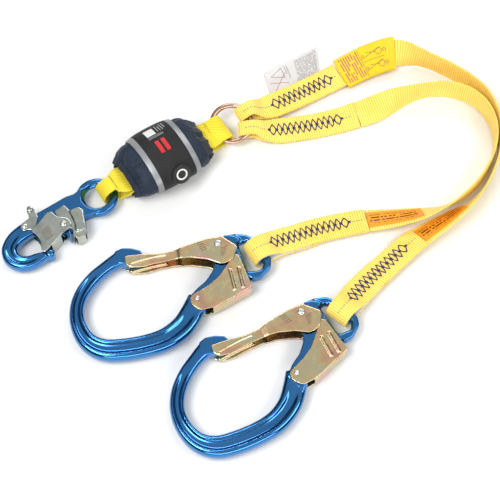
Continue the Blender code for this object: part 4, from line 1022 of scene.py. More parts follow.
def bow(rows, groove=0.0, reach=0.62, soft=0.22, fade=(0.1, 0.22, 0.84, 0.95), sides=56,
        roundness=0.56, steps=6):
    """A curved bar of (x, y, width, thickness) rows, with a channel along both its faces."""
    rows = smooth_path(rows, steps)
    rings = []
    for i, row in enumerate(rows):
        ahead = rows[min(i + 1, len(rows) - 1)]
        behind = rows[max(i - 1, 0)]
        tangent = unit((ahead[0] - behind[0], ahead[1] - behind[1], 0))
        side = Vector((tangent.y, -tangent.x, 0))
        share = i / (len(rows) - 1)
        depth = groove * eased((share - fade[0]) / (fade[1] - fade[0]))
        depth *= 1 - eased((share - fade[2]) / (fade[3] - fade[2]))
        ring = []
        for k in range(sides):
            angle = math.tau * (k + 0.5) / sides
            c, s = math.cos(angle), math.sin(angle)
            across = math.copysign(abs(c) ** roundness, c)
            up = math.copysign(abs(s) ** roundness, s)
            height = abs(up) * row[3] / 2 - depth * eased((reach - abs(across)) / soft)
            ring.append(Vector((row[0], row[1], 0)) + side * across * row[2] / 2
                        + Vector((0, 0, math.copysign(height, up))))
        rings.append(ring)
    return loft(rings)


def capsule(points, radius, sides=16, steps=5):
    """A round bar along points with round ends."""
    points = [Vector(p) for p in points]
    first, last = unit(points[0] - points[1]), unit(points[-1] - points[-2])
    head, radii = [], []
    for k in range(steps):
        angle = math.pi / 2 * (k + 0.3) / steps
        head.append(points[0] + first * radius * math.cos(angle))
        radii.append(radius * math.sin(angle))
    tail = [points[-1] + last * radius * math.cos(math.pi / 2 * (k + 0.3) / steps)
            for k in range(steps)][::-1]
    return tube(head + points + tail, radii + [radius] * len(points) + radii[::-1], sides)


def plate_pair(outline, inner, outer, edge):
    """The same plate on both sides of the middle plane."""
    return [plate(outline, inner, outer, edge), plate(outline, -outer, -inner, edge)]


def bored(centre, radius, low=-BORE_REACH, high=BORE_REACH):
    """A cutter for a round hole."""
    return turned(centre, [(radius, low), (radius, high)])


def both_faces(points, radius, surface, proud):
    """Raised ribs on both outer faces of a pair of plates."""
    level = surface - radius + proud
    return [capsule([(x, y, sign * level) for x, y in points], radius) for sign in (1, -1)]


def flared_hole(outline, half, flare, steps=4):
    """A cutter for a hole whose edges are rounded at both faces."""
    rings = [[(x, y, -half - 2) for x, y in grown(outline, flare + 0.5)]]
    for k in range(steps + 1):
        angle = math.pi / 2 * k / steps
        rings.append([(x, y, -half + flare * math.sin(angle))
                      for x, y in grown(outline, flare * (1 - math.sin(angle)))])
    rings += [[(x, y, -z) for x, y, z in ring] for ring in rings[::-1]]
    return loft(rings)


def rivet(centre, shaft, head, inner, outer):
    """A rivet with two domed, rolled-over heads."""
    rise = outer - inner - GAP
    half = [(shaft, 0.0), (shaft, inner + GAP), (head, inner + GAP), (head, inner + GAP + 0.25),
            (head * 0.95, inner + GAP + 0.55 * rise), (head * 0.80, inner + GAP + 0.86 * rise),
            (head * 0.60, outer), (head * 0.44, outer - 0.04), (head * 0.34, outer - 0.22),
            (head * 0.16, outer - 0.26), (0.05, outer - 0.27)]
    profile = [(r, -z) for r, z in half[::-1]] + half[1:]
    return turned(centre, profile, 48)


def torsion_spring(centre, radius, wire, low, turns, leg, leg_angle):
    """A coil round a rivet; with a leg length, one end runs out to the sheet it pushes."""
    per_turn = 30
    rise = 2 * wire + 0.15
    angles = [k / per_turn * math.tau for k in range(int(turns * per_turn) + 1)]
    end = math.radians(leg_angle)
    points = [(centre[0] + radius * math.cos(end - angles[-1] + a),
               centre[1] + radius * math.sin(end - angles[-1] + a),
               low + wire + rise * a / math.tau) for a in angles]
    along = Vector((-math.sin(end), math.cos(end), 0))
    last = Vector(points[-1])
    if leg:
        points += [tuple(last + along * leg * share) for share in (0.1, 0.3, 0.6, 1.0)]
    return tube(points, wire, 12)


def hardware(node, ending, mesh, matrix, body, slot):
    """A turned or wound piece that needs no remeshing."""
    made = new_object(f"{node}_{ending}", mesh, matrix)
    return finish_piece(made, body, slot, node, sharp=42)


def etched(name, rows, matrix, body, slot):
    """Small flat plates that stand for etched marks: (x, y, length, width, degrees, z) rows."""
    meshes = []
    for x, y, length, width, degrees, z in rows:
        corners = [(-length / 2, -width / 2), (length / 2, -width / 2),
                   (length / 2, width / 2), (-length / 2, width / 2)]
        outline = [(x + p[0], y + p[1]) for p in (turn(c, degrees) for c in corners)]
        meshes.append(plate(outline, z, z + 0.09))
    made = new_object(name, joined(meshes), matrix)
    return finish_piece(made, body, slot, paint="dark_etch", smooth=False)


BOW_LINE = (                     # x, y, width, thickness along the bow's middle
    (-104.5, 0.5, 17.5, 13.5), (-119.0, -8.0, 14.5, 14.5), (-134.5, -20.0, 15.0, 15.5),
    (-147.5, -36.0, 15.5, 17.0), (-154.5, -54.0, 15.5, 17.0), (-154.0, -73.5, 17.0, 17.0),
    (-146.0, -91.5, 19.5, 17.0), (-131.0, -102.3, 22.5, 17.0), (-111.0, -105.0, 23.5, 17.0),
    (-86.0, -103.7, 23.5, 17.0), (-65.0, -98.5, 24.0, 17.0), (-47.5, -87.0, 24.5, 15.5),
    (-35.5, -71.5, 24.5, 13.8), (-27.5, -58.0, 24.0, 13.6),
)
TONGUE = (
    (-110.0, 7.5, 3), (-101.5, 10.5, 6), (-92.0, 9.0, 8), (-82.5, 5.0, 4), (-79.2, -3.0, 4),
    (-79.6, -6.0, 3), (-84.0, -9.5, 3), (-92.0, -9.5, 4), (-103.0, -9.0, 2),
    (-112.0, -6.0, 2),
)
SHANK = (
    (-39.0, -59.0, 0), (-29.0, -48.5, 10), (-18.5, -41.0, 20), (-9.0, -29.0, 12),
    (-6.3, -16.0, 6), (-6.3, 6.2, 5.8), (6.6, 6.2, 0), (6.6, 11.6, 3), (16.0, 10.6, 4),
    (24.0, 6.0, 4), (27.0, -36.0, 4), (18.0, -39.5, 6), (6.0, -45.5, 12), (-7.0, -54.0, 16),
    (-20.0, -69.0, 6), (-30.0, -80.0, 0),
)
EYE_OUTER = (
    (8.0, 12.4, 2), (19.5, 13.0, 8), (33.0, 10.0, 12), (42.5, -1.0, 16), (54.5, -21.8, 10),
    (52.5, -32.0, 9), (41.0, -42.5, 8), (31.0, -44.0, 6), (24.0, -38.5, 3), (12.0, -20.0, 0),
    (10.0, 0.0, 0),
)
EYE_HOLE = (
    (21.6, 0.2, 2.5), (30.0, 3.2, 3.5), (45.8, -26.4, 4), (41.5, -33.5, 5), (28.0, -34.0, 3.5),
)
SHANK_HALF, EYE_HALF, TONGUE_HALF = 7.0, 5.0, 6.5
LEVER_RIVET, RIVET_SHAFT, LEVER_RIVET_SHAFT = (-29.0, -60.4), 2.6, 2.0
GATE_SPRING_POCKET, LEVER_SPRING_POCKET = (6.9, 3.6, 9.0), (5.2, 3.9, 9.0)
LEVER_IN, LEVER_OUT = 7.3, 8.8
GATE_TIP_IN, GATE_TIP_OUT, GATE_IN, GATE_OUT, HEAD_TOP = 7.2, 9.0, 9.1, 10.9, 12.3
GATE_FLANGE = (                  # clockwise from the tip's outer corner
    (-100.0, -0.8, 1.5), (-80.0, -1.2, 30), (-62.0, -3.0, 40), (-45.0, -1.0, 40),
    (-26.0, 4.5, 40), (-10.0, 7.8, 20), (5.0, 8.4, 1.5), (20.5, -6.0, 5), (14.0, -20.0, 12),
    (2.0, -26.0, 14), (-13.0, -17.5, 14), (-31.0, -12.8, 20), (-47.0, -12.0, 30),
    (-66.0, -13.6, 20), (-80.0, -16.4, 12), (-95.0, -15.6, 5), (-100.0, -10.5, 4),
)
GATE_JOGGLE, WEB_ENDS, GATE_SHEET = (-46.0, -40.0), (-77.5, 4.6), 1.8
LEVER_FLANGE = (
    (-28.0, -53.0, 6), (-17.0, -47.5, 12), (-5.0, -39.0, 14), (6.0, -26.0, 10),
    (14.5, -13.5, 2), (20.0, -14.5, 3), (28.8, -50.0, 3), (28.5, -54.0, 1), (-15.0, -73.0, 2),
    (-28.0, -74.5, 7), (-36.5, -66.0, 7), (-36.0, -57.0, 5),
)
LEVER_BACK = ((-13.5, -73.2), (28.5, -55.2))
LEVER_RIBS = (((8.8, -33.0), (11.0, -55.0)), ((18.0, -31.5), (20.0, -53.5)))


def flange_height(x, tip, heel):
    low, high = GATE_JOGGLE
    return tip + (heel - tip) * eased((x - low) / (high - low))


def gate_flange(outline, sign):
    """One gate flange: beyond the joggle it lies further out than the tip."""
    rings = []
    flat = split_long(outline, 1.2)
    for tip, heel, inset in ((GATE_TIP_IN, GATE_IN, SHEET_EDGE),
                             (GATE_TIP_IN + SHEET_EDGE, GATE_IN + SHEET_EDGE, 0),
                             (GATE_TIP_OUT - SHEET_EDGE, GATE_OUT - SHEET_EDGE, 0),
                             (GATE_TIP_OUT, GATE_OUT, SHEET_EDGE)):
        rings.append([(x, y, sign * flange_height(x, tip, heel))
                      for x, y in grown(flat, -inset)])
    mesh, rows = skin(rings)
    for row in (rows[0], rows[-1]):
        mesh.faces.new(row)
        for cut in np.linspace(*GATE_JOGGLE, 6):
            pieces = [f for f in mesh.faces if len(f.verts) > 8]
            edges = {e for f in pieces for e in f.edges}
            bmesh.ops.bisect_plane(mesh, geom=pieces + list(edges),
                                   plane_co=(cut * MM, 0, 0), plane_no=(1, 0, 0), dist=1e-7)
    bmesh.ops.recalc_face_normals(mesh, faces=mesh.faces)
    return mesh


def upper_edge(x, outline):
    best = -1e3
    for a, b in zip(outline, outline[1:] + outline[:1]):
        if min(a[0], b[0]) <= x <= max(a[0], b[0]) and a[0] != b[0]:
            share = (x - a[0]) / (b[0] - a[0])
            best = max(best, a[1] + share * (b[1] - a[1]))
    return best


def gate_back(outline):
    """The gate's back: a sheet that joins both flanges along their outer edge."""
    rings = []
    for x in np.linspace(*WEB_ENDS, 60):
        top = upper_edge(x, outline)
        reach = flange_height(x, GATE_TIP_OUT, GATE_OUT) - 0.05
        soft = 0.8
        rings.append([(x, top - soft, reach), (x, top - 0.25 * soft, reach - 0.25 * soft),
                      (x, top, reach - soft), (x, top, -reach + soft),
                      (x, top - 0.25 * soft, -reach + 0.25 * soft), (x, top - soft, -reach),
                      (x, top - GATE_SHEET, -reach), (x, top - GATE_SHEET, reach)])
    return loft(rings)


def folded(outline, inner, outer, back, sheet, edge=0.4):
    """Two stamped plates joined by a strip along one edge."""
    start, end = (Vector(p) for p in back)
    inward = Vector((start.y - end.y, end.x - start.x)).normalized() * sheet
    strip = [tuple(p) for p in (start, end, end + inward, start + inward)]
    return [*plate_pair(outline, inner, outer, SHEET_EDGE),
            plate(strip, -outer + 0.1, outer - 0.1, edge)]


def build_rebar_hook(letter, angle):
    """One big hook: frame, gate, lock lever, rivets and springs."""
    prefix = f"rebar_hook_{letter}"
    place = Vector(JOINTS[f"{prefix}_gate_hinge"]["pos_m"])
    matrix = Matrix.Translation(place) @ Matrix.Rotation(math.radians(angle), 4, "Z")
    gate_body, lever_body = f"{prefix}_gate_body", f"{prefix}_lever_body"
    parts = [bow(BOW_LINE, 3.1, 0.60, 0.40, roundness=0.66),
             plate(fillet(SHANK), -SHANK_HALF, SHANK_HALF, 1.2),
             plate(fillet(EYE_OUTER), -EYE_HALF, EYE_HALF, 2.2, 5),
             plate(fillet(TONGUE), -TONGUE_HALF, TONGUE_HALF, 1.0)]
    cuts = [flared_hole(fillet(EYE_HOLE), EYE_HALF, 2.2),
            bored((0, 0), RIVET_SHAFT + GAP), bored((0, 0), *GATE_SPRING_POCKET),
            bored(LEVER_RIVET, *LEVER_SPRING_POCKET),
            bored(LEVER_RIVET, LEVER_RIVET_SHAFT + GAP)]
    forged(f"{prefix}_frame_forging", f"{prefix}_frame", prefix, "blue_anodised", matrix, parts,
           cuts, *REBAR_FORGING)
    outline = fillet(GATE_FLANGE)
    parts = [gate_flange(outline, 1), gate_flange(outline, -1), gate_back(outline)]
    parts += both_faces([(-94.5, -12.6), (-84.0, -10.5), (-70.0, -8.3), (-58.0, -7.4)], 2.4,
                        GATE_TIP_OUT, 0.55)
    forged(f"{prefix}_gate_sheet", f"{prefix}_gate", gate_body, "gold_zinc", matrix, parts,
           [bored((0, 0), RIVET_SHAFT + GAP)], *REBAR_GATE)
    lines = [(-20.0 + 1.1 * k, 3.4 - 2.3 * k, 7.0, 0.9, 12.0, GATE_OUT) for k in range(5)]
    lines += [(5.5 - 0.6 * k, -5.5 - 2.3 * k, 8.0 - k, 0.9, 12.0, GATE_OUT) for k in range(5)]
    etched(f"{prefix}_gate_marks", lines, matrix, gate_body, "gold_zinc")
    parts = folded(fillet(LEVER_FLANGE), LEVER_IN, LEVER_OUT, LEVER_BACK, 2.0, 0.5)
    for line in LEVER_RIBS:
        parts += both_faces(line, 1.9, LEVER_OUT, 1.15)
    (left, low), (right, high) = LEVER_BACK
    lip = [(left - 1.0, low + 1.6), (left + 6, low + 3.6), (right - 4, high - 0.3),
           (right - 0.5, high + 1.2)]
    parts += both_faces(lip, 1.5, LEVER_OUT, 0.2)
    forged(f"{prefix}_lever_sheet", f"{prefix}_lock_lever", lever_body, "gold_zinc", matrix,
           parts, [bored(LEVER_RIVET, LEVER_RIVET_SHAFT + GAP)], *REBAR_LEVER)
    for node, mesh in (
            ("gate_rivet", rivet((0, 0), RIVET_SHAFT, 3.8, GATE_OUT, HEAD_TOP)),
            ("lever_rivet", rivet(LEVER_RIVET, LEVER_RIVET_SHAFT, 2.7, LEVER_OUT, 10.3))):
        hardware(f"{prefix}_{node}", "turned", mesh, matrix, prefix, "rivet_steel")
    for node, body, mesh in (
            ("gate_spring", gate_body, torsion_spring((0, 0), 4.2, 0.6, 3.9, 1.7, 25.0, 97.0)),
            ("lever_spring", prefix, torsion_spring(LEVER_RIVET, 3.4, 0.5, 4.2, 1.5, 0.0, -40.0))):
        hardware(f"{prefix}_{node}", "coil", mesh, matrix, body, "spring_steel")


SNAP_HALF = 6.3
SNAP_LEVER_IN, SNAP_LEVER_OUT = 6.7, 8.1
SNAP_GATE_IN, SNAP_GATE_OUT, SNAP_HEAD_TOP = 8.5, 10.0, 11.4
SNAP_SHAFT, SNAP_FOLD, SNAP_SPRING_POCKET = 2.3, 1.5, (5.6, 3.2, 9.0)
LATCH_RIVET, ROLLER, ROLLER_RADIUS, NOSE_BALL = (-35.3, 22.5), (-19.6, 37.6), 3.9, (-30.0, -19.5)
SNAP_BOW = (
    (-12.0, 20.5, 19.5, 12.6), (-26.0, 20.8, 19.0, 12.6), (-39.0, 20.8, 18.5, 12.6),
    (-52.0, 18.3, 17.5, 13.2), (-62.3, 11.0, 17.0, 14.0), (-65.6, 1.0, 17.0, 14.0),
    (-62.2, -8.2, 16.0, 14.0), (-54.0, -14.2, 14.5, 14.0), (-44.0, -16.2, 13.0, 13.4),
    (-36.0, -17.4, 9.5, 12.4), (-30.5, -18.8, 6.0, 11.4),
)
SNAP_SHANK = (
    (-24.0, 30.4, 2), (20.0, 29.8, 10), (31.0, 27.0, 10), (40.0, 31.0, 4), (44.0, -8.5, 4),
    (30.0, -4.5, 10), (20.0, -2.0, 8), (8.0, -6.0, 5), (2.6, -7.0, 3), (-1.4, -18.4, 0.8),
    (-3.0, -17.4, 0.8), (-4.6, -7.0, 4), (-8.2, -1.0, 6), (-10.0, 9.0, 5), (-24.0, 11.0, 2),
)
SNAP_FLANGE = (
    (-25.0, 16.2, 3), (-17.0, 18.6, 2), (-8.0, 22.6, 3), (-2.5, 21.0, 3), (-1.0, 12.0, 6),
    (7.6, 4.0, 6), (7.0, -7.6, 6), (-8.0, -9.0, 10), (-34.8, -18.0, 2), (-35.6, -12.4, 3),
    (-31.2, -3.0, 12), (-31.0, 5.0, 12), (-32.8, 12.0, 3), (-31.0, 15.8, 1.5),
)
SNAP_BACK = ((-23.0, -14.0), (-9.0, -9.4))
SNAP_LEVER = (
    (-1.0, 12.5, 3), (0.5, 20.5, 2), (13.0, 21.0, 2), (14.5, 11.5, 2), (25.0, 8.8, 2),
    (27.0, 3.2, 2), (15.6, -20.6, 2), (11.6, -24.4, 2), (2.6, -22.2, 2), (0.8, -17.0, 3),
    (6.5, -7.0, 4), (-5.5, -5.5, 5), (-6.0, 6.0, 5),
)
SNAP_LEVER_BACK = ((2.8, -22.3), (12.0, -24.2))
THUMB_PAD = (
    (13.2, 11.2, 3), (24.6, 8.6, 3), (26.4, 3.4, 3), (18.6, -14.5, 3), (15.8, -18.6, 3),
    (5.6, -15.8, 3), (9.6, -7.5, 3), (11.4, -1.0, 4),
)
LATCH_BRIDGE = ((-24.0, 31.9), (-16.6, 31.9), (-16.6, 33.1), (-24.0, 33.1))
LATCH_ARM = (
    (-40.0, 24.0, 4.5), (-36.5, 27.6, 3), (-25.5, 29.0, 3), (-24.2, 37.6, 4), (-19.6, 42.2, 4.2),
    (-15.0, 37.6, 4), (-17.6, 24.5, 4), (-27.2, 13.8, 1.5), (-31.0, 14.6, 2), (-35.3, 17.8, 4),
    (-40.0, 18.6, 4),
)


def build_snap_hook():
    place = Vector(JOINTS["snap_gate_hinge"]["pos_m"])
    matrix = Matrix.Translation(place) @ Matrix.Rotation(math.radians(SNAP_ANGLE), 4, "Z")
    eye = plate(circle(SNAP_EYE, SNAP_EYE_OUTER, 72), -EYE_HALF, EYE_HALF, 3.6, 6)
    ball = turned(NOSE_BALL, [(1.2, -7.9), (3.0, -7.6), (4.5, -6.6), (5.2, -5.0), (5.2, 5.0),
                              (4.5, 6.6), (3.0, 7.6), (1.2, 7.9)], 32)
    parts = [bow(SNAP_BOW, 1.5, 0.5, 0.3, (0.2, 0.34, 0.7, 0.85)),
             plate(fillet(SNAP_SHANK), -SNAP_HALF, SNAP_HALF, 0.9), eye, ball]
    cuts = [flared_hole(circle(SNAP_EYE, SNAP_EYE_HOLE, 64), EYE_HALF, 3.4),
            bored((0, 0), SNAP_SHAFT + GAP), bored(LATCH_RIVET, SNAP_SHAFT + GAP),
            bored((0, 0), *SNAP_SPRING_POCKET)]
    forged("snap_hook_frame_forging", "snap_hook_frame", "snap_hook", "blue_anodised", matrix,
           parts, cuts, *SNAP_FORGING)
    parts = folded(fillet(SNAP_FLANGE), SNAP_GATE_IN, SNAP_GATE_OUT, SNAP_BACK, SNAP_FOLD)
    forged("snap_gate_sheet", "snap_gate", "snap_gate_body", "silver_zinc", matrix, parts,
           [bored((0, 0), SNAP_SHAFT + GAP)], *SNAP_SHEET)
    lines = [(-19.0 - 0.5 * k, 6.5 - 2.4 * k, 9.0 + 1.5 * (k % 2), 0.9, 6.0, SNAP_GATE_OUT)
             for k in range(6)]
    etched("snap_gate_marks", lines, matrix, "snap_gate_body", "silver_zinc")
    parts = folded(fillet(SNAP_LEVER), SNAP_LEVER_IN, SNAP_LEVER_OUT, SNAP_LEVER_BACK, SNAP_FOLD)
    parts += plate_pair(fillet(THUMB_PAD), SNAP_LEVER_OUT - 0.6, SNAP_LEVER_OUT + 2.0, 1.2)
    forged("snap_lever_sheet", "snap_lock_lever", "snap_lever_body", "silver_zinc", matrix,
           parts, [bored((0, 0), SNAP_SHAFT + GAP)], *SNAP_SHEET)
    parts = [*plate_pair(fillet(LATCH_ARM), SNAP_LEVER_IN, SNAP_LEVER_OUT, SHEET_EDGE),
             plate(LATCH_BRIDGE, -SNAP_LEVER_OUT + 0.1, SNAP_LEVER_OUT - 0.1)]
    cuts = [bored(LATCH_RIVET, SNAP_SHAFT + GAP), bored(ROLLER, 2.0 + GAP)]
    forged("snap_latch_sheet", "snap_latch_arms", "snap_latch_body", "silver_zinc", matrix,
           parts, cuts, *SNAP_SHEET)
    inside = SNAP_LEVER_IN - GAP
    half = [(2.0, inside), (2.0, 8.4), (3.6, 8.4), (3.6, 9.3), (3.3, 9.9), (2.6, 10.3),
            (1.2, 10.4), (0.1, 10.35)]
    rim = [(ROLLER_RADIUS - 0.5, inside), (ROLLER_RADIUS, inside - 0.5)]
    profile = ([(r, -z) for r, z in half[::-1]] + [(r, -z) for r, z in rim]
               + rim[::-1] + half)
    for node, ending, body, slot, mesh in (
            ("snap_latch_roller", "turned", "snap_latch_body", "silver_zinc",
             turned(ROLLER, profile, 48)),
            ("snap_gate_rivet", "turned", "snap_hook", "rivet_steel",
             rivet((0, 0), SNAP_SHAFT, 3.5, SNAP_GATE_OUT, SNAP_HEAD_TOP)),
            ("snap_latch_rivet", "turned", "snap_hook", "rivet_steel",
             rivet(LATCH_RIVET, SNAP_SHAFT, 3.4, SNAP_LEVER_OUT, 9.8)),
            ("snap_gate_spring", "coil", "snap_gate_body", "spring_steel",
             torsion_spring((0, 0), 3.9, 0.5, 3.5, 1.5, 0.0, 250.0))):
        hardware(node, ending, mesh, matrix, body, slot)


def build_ring():
    tilt = Matrix.Rotation(math.radians(RING_TILT), 4, "X")
    place = Vector(JOINTS["connector_ring_spin"]["pos_m"])
    points = [(x, y, 0) for x, y in circle((0, 0), RING_RADIUS, 160)]
    made = new_object("connector_ring_wire", tube(points, RING_WIRE, 28, closed=True),
                      Matrix.Translation(place) @ tilt)
    finish_piece(made, "ring", "ring_steel", "connector_ring")


# ------------------------------------------------------------------ energy absorber
COVER_TURNS = 176               # points round the cover's mesh
PACK = (Matrix.Translation((Vector((*PACK_CENTRE, 0)) + Vector(LAYOUT_SHIFT)) * MM)
        @ Matrix.Rotation(math.radians(PACK_ANGLE), 4, "Z"))


def cover_size(x):
    share = 1 - min(1.0, abs(x) / COVER_HALF_LENGTH) ** 3
    half_width = MOUTH_HALF[0] + (COVER_HALF[0] - MOUTH_HALF[0]) * share
    half_height = MOUTH_HALF[1] + (COVER_HALF[1] - MOUTH_HALF[1]) * share
    middle = half_height + GAP + BAND_WALL + MOUTH_LIFT * (COVER_HALF[1] - half_height)
    return half_width, half_height, middle


def pleat(x, angle):
    """How far the gathered cloth stands in or out of the plain cover at a place on it."""
    amount = eased((abs(x) - 25.0) / 17.0)
    side = 1.0 if x > 0 else -1.0
    wave = (math.sin(11 * angle + 1.3 * side) + 0.6 * math.sin(17 * angle + 2.1 + side)
            + 0.45 * math.sin(5 * angle + 0.4 - side) + 0.35 * math.sin(26 * angle + 3 * side))
    return amount * (1.05 * wave - 0.35)


def cover_point(x, angle, outward):
    half_width, half_height, middle = cover_size(x)
    reach = outward + pleat(x, angle)
    return (x, (half_width + reach) * math.sin(angle),
            middle + (half_height + reach) * math.cos(angle))


def cover_grid(name, places, angles, inner, outer, edge=None):
    """A closed tube of cloth that follows the cover between two distances from its face."""
    outside = [[cover_point(x + (edge(x, a) if edge else 0.0), a, outer) for a in angles]
               for x in places]
    inside = [[cover_point(x + (edge(x, a) if edge else 0.0), a, inner) for a in angles]
              for x in places[::-1]]
    rows = outside + inside + outside[:1]
    across = [a * 30.0 for a in angles]
    along = list(places) + list(places[::-1]) + [places[0]]
    made = grid(name, rows, across, along, caps=False)
    weld(made)
    made.matrix_world = PACK
    return made


def settle(made, pinned, frames=20, pressure=3.0, scale=10.0, cap=5.0):
    """Blender's cloth, run with the given vertices held and its result kept as the mesh."""
    before = np.empty(len(made.data.vertices) * 3)
    made.data.vertices.foreach_get("co", before)
    made.data.vertices.foreach_set("co", before * scale)
    group = made.vertex_groups.new(name="held")
    for index, weight in pinned.items():
        group.add([index], weight, "REPLACE")
    cloth = made.modifiers.new("cloth", "CLOTH")
    settings = cloth.settings
    settings.quality = 6
    settings.mass = 0.2
    settings.tension_stiffness = settings.compression_stiffness = 8
    settings.shear_stiffness = 4
    settings.bending_stiffness = 0.3
    settings.vertex_group_mass = "held"
    settings.use_pressure = True
    settings.uniform_pressure_force = pressure
    settings.shrink_min = -0.06
    settings.effector_weights.gravity = 0
    cloth.collision_settings.use_collision = False
    cloth.point_cache.frame_end = frames
    for number in range(1, frames + 1):
        bpy.context.scene.frame_set(number)
    bake_modifiers(made)
    after = np.empty(len(made.data.vertices) * 3)
    made.data.vertices.foreach_get("co", after)
    made.vertex_groups.clear()
    bpy.context.scene.frame_set(1)
    shift = (after / scale - before).reshape(-1, 3)
    far = np.linalg.norm(shift, axis=1)[:, None]
    shift *= np.minimum(1.0, cap * MM / np.maximum(far, 1e-12))
    made.data.vertices.foreach_set("co", (before.reshape(-1, 3) + shift).ravel())
    made.data.update()


def build_cover():
    """The gathered nylon cover: pleated in code, then relaxed by cloth simulation."""
    angles = [math.tau * k / COVER_TURNS for k in range(COVER_TURNS)]
    places = np.linspace(-COVER_HALF_LENGTH, COVER_HALF_LENGTH, 75).tolist()
    rows = [[cover_point(x, a, -0.35) for a in angles] for x in places]
    made = grid("absorber_cover_cloth", rows, [a * 30.0 for a in angles], places, caps=False)
    pinned = {}
    for i, x in enumerate(places):
        hold = max(1 - eased((abs(x) - 26.0) / 4.0), eased((abs(x) - 44.0) / 4.0))
        for k in range(COVER_TURNS):
            if hold > 0:
                pinned[i * COVER_TURNS + k] = hold
    settle(made, pinned)
    thick = made.modifiers.new("thick", "SOLIDIFY")
    thick.thickness = 0.8 * MM
    thick.offset = -1
    smooth = made.modifiers.new("fine", "SUBSURF")
    smooth.levels = smooth.render_levels = 1
    bake_modifiers(made)
    made.matrix_world = PACK
    return finish_piece(made, "lanyard", "navy_nylon", "absorber_cover")


def build_absorber():
    cover = build_cover()
    angles = [math.tau * k / COVER_TURNS for k in range(COVER_TURNS)]
    bands = [("absorber_label_band_weave", (-BAND_HALF_LENGTH, BAND_HALF_LENGTH), "black_band",
              "absorber_label_band")]
    for number, sign in enumerate((-1, 1), 1):
        ends = sorted((sign * (BAND_HALF_LENGTH + GAP), sign * STRIP_END))
        bands.append((f"absorber_reflective_strip_{number}_film", ends, "grey_reflective",
                      f"absorber_reflective_strip_{number}"))
    for name, (low, high), slot, node in bands:
        places = np.linspace(low, high, 2 + round((high - low) / 1.2)).tolist()
        made = cover_grid(name, places, angles, GAP, GAP + BAND_WALL)
        finish_piece(made, "lanyard", slot, node, sharp=50)
    for number, sign in enumerate((-1, 1), 1):
        ends = sorted((sign * (COVER_HALF_LENGTH - 5.0), sign * (COVER_HALF_LENGTH - 0.5)))
        places = np.linspace(*ends, 6).tolist()

        def scallop(x, angle):
            far = (abs(x) - COVER_HALF_LENGTH + 5.0) / 4.5
            return sign * far * (0.5 + 0.9 * math.sin(11 * angle + 1.3 * sign) * 0.7)

        made = cover_grid(f"absorber_cover_hem_{number}_binding", places, angles, GAP, GAP + 1.1,
                          scallop)
        finish_piece(made, "lanyard", "navy_nylon", f"absorber_cover_hem_{number}",
                     paint="navy_hem", sharp=60)
    build_tear_webbing()
    build_absorber_loops()
    build_round_tab()
    build_band_label()


def build_tear_webbing():
    """The tear webbing, folded to and fro inside the cover."""
    length, width, _, middle = PACK_BLOCK
    pitch = ABSORBER_PLY + 0.3
    layers = 7
    reach = length / 2 - pitch / 2 - ABSORBER_PLY / 2
    points = []
    for layer in range(layers):
        z = middle + (layer - (layers - 1) / 2) * pitch
        sign = 1 if layer % 2 == 0 else -1
        points += [(sign * x, z) for x in np.linspace(-reach, reach, 24)]
        if layer < layers - 1:
            points += [(sign * (reach + pitch / 2 * math.sin(a)),
                        z + pitch / 2 * (1 - math.cos(a)))
                       for a in (math.pi * k / 8 for k in range(1, 8))]
    rows = [(Vector((x, 0, z)), Vector((0, 1, 0)), width) for x, z in points]
    made = build_webbing("absorber_tear_webbing_folds", Strip(rows, ABSORBER_PLY), *FOLDED_WEAVE)
    made.matrix_world = PACK
    finish_piece(made, "lanyard", "absorber_webbing", "absorber_tear_webbing")


def build_absorber_loops():
    angle = math.radians(PACK_ANGLE)
    axis = Vector((math.cos(angle), math.sin(angle), 0))
    length, _, _, middle = PACK_BLOCK
    bar = joint_place("snap_hook_swing") - Vector(LAYOUT_SHIFT) + Vector((0, 0, HOOK_LOOP_LIFT))
    hook_start = [(*bar, 0.0), (*(bar + axis * 5.0), 0.0)]
    for name, sign, start, cavity, taper, bar_width in (
            ("absorber_hook_loop", -1, hook_start, (12.6, 10.2), 24.0, 19.0),
            ("absorber_ring_loop", 1, ring_start(RING_BAR_PACK, RING_BAR_PACK), (12.9, 6.4),
             20.0, 31.0)):
        end = Vector((*PACK_CENTRE, middle - 3.0)) + axis * sign * (length / 2 + 2.2)
        mouth = end + axis * sign * 11.0 - Vector((0, 0, 1.5))
        spine = stations_along([*start, (*mouth, 0.0), (*end, 0.0)], 4.0)
        rows = sewn_end(spine, (bar_width, ABSORBER_WIDTH - 1.0, 16.0), ABSORBER_PLY, cavity,
                        taper)
        webbing_piece(name, "weave", "absorber_webbing", Strip(rows, ABSORBER_PLY),
                      *ABSORBER_WEAVE)


def surface_frame(x, degrees, lift):
    """A matrix that stands on the cover: its Z is outwards and its X runs along the pack."""
    angle = math.radians(degrees)
    half_width, half_height, middle = cover_size(x)
    normal = unit((0, -math.sin(angle) / half_width, math.cos(angle) / half_height))
    foot = Vector((x, -half_width * math.sin(angle), middle + half_height * math.cos(angle)))
    across = normal.cross(Vector((1, 0, 0)))
    rotation = Matrix((Vector((1, 0, 0)), across, normal)).transposed().to_4x4()
    return PACK @ Matrix.Translation((foot + normal * lift) * MM) @ rotation


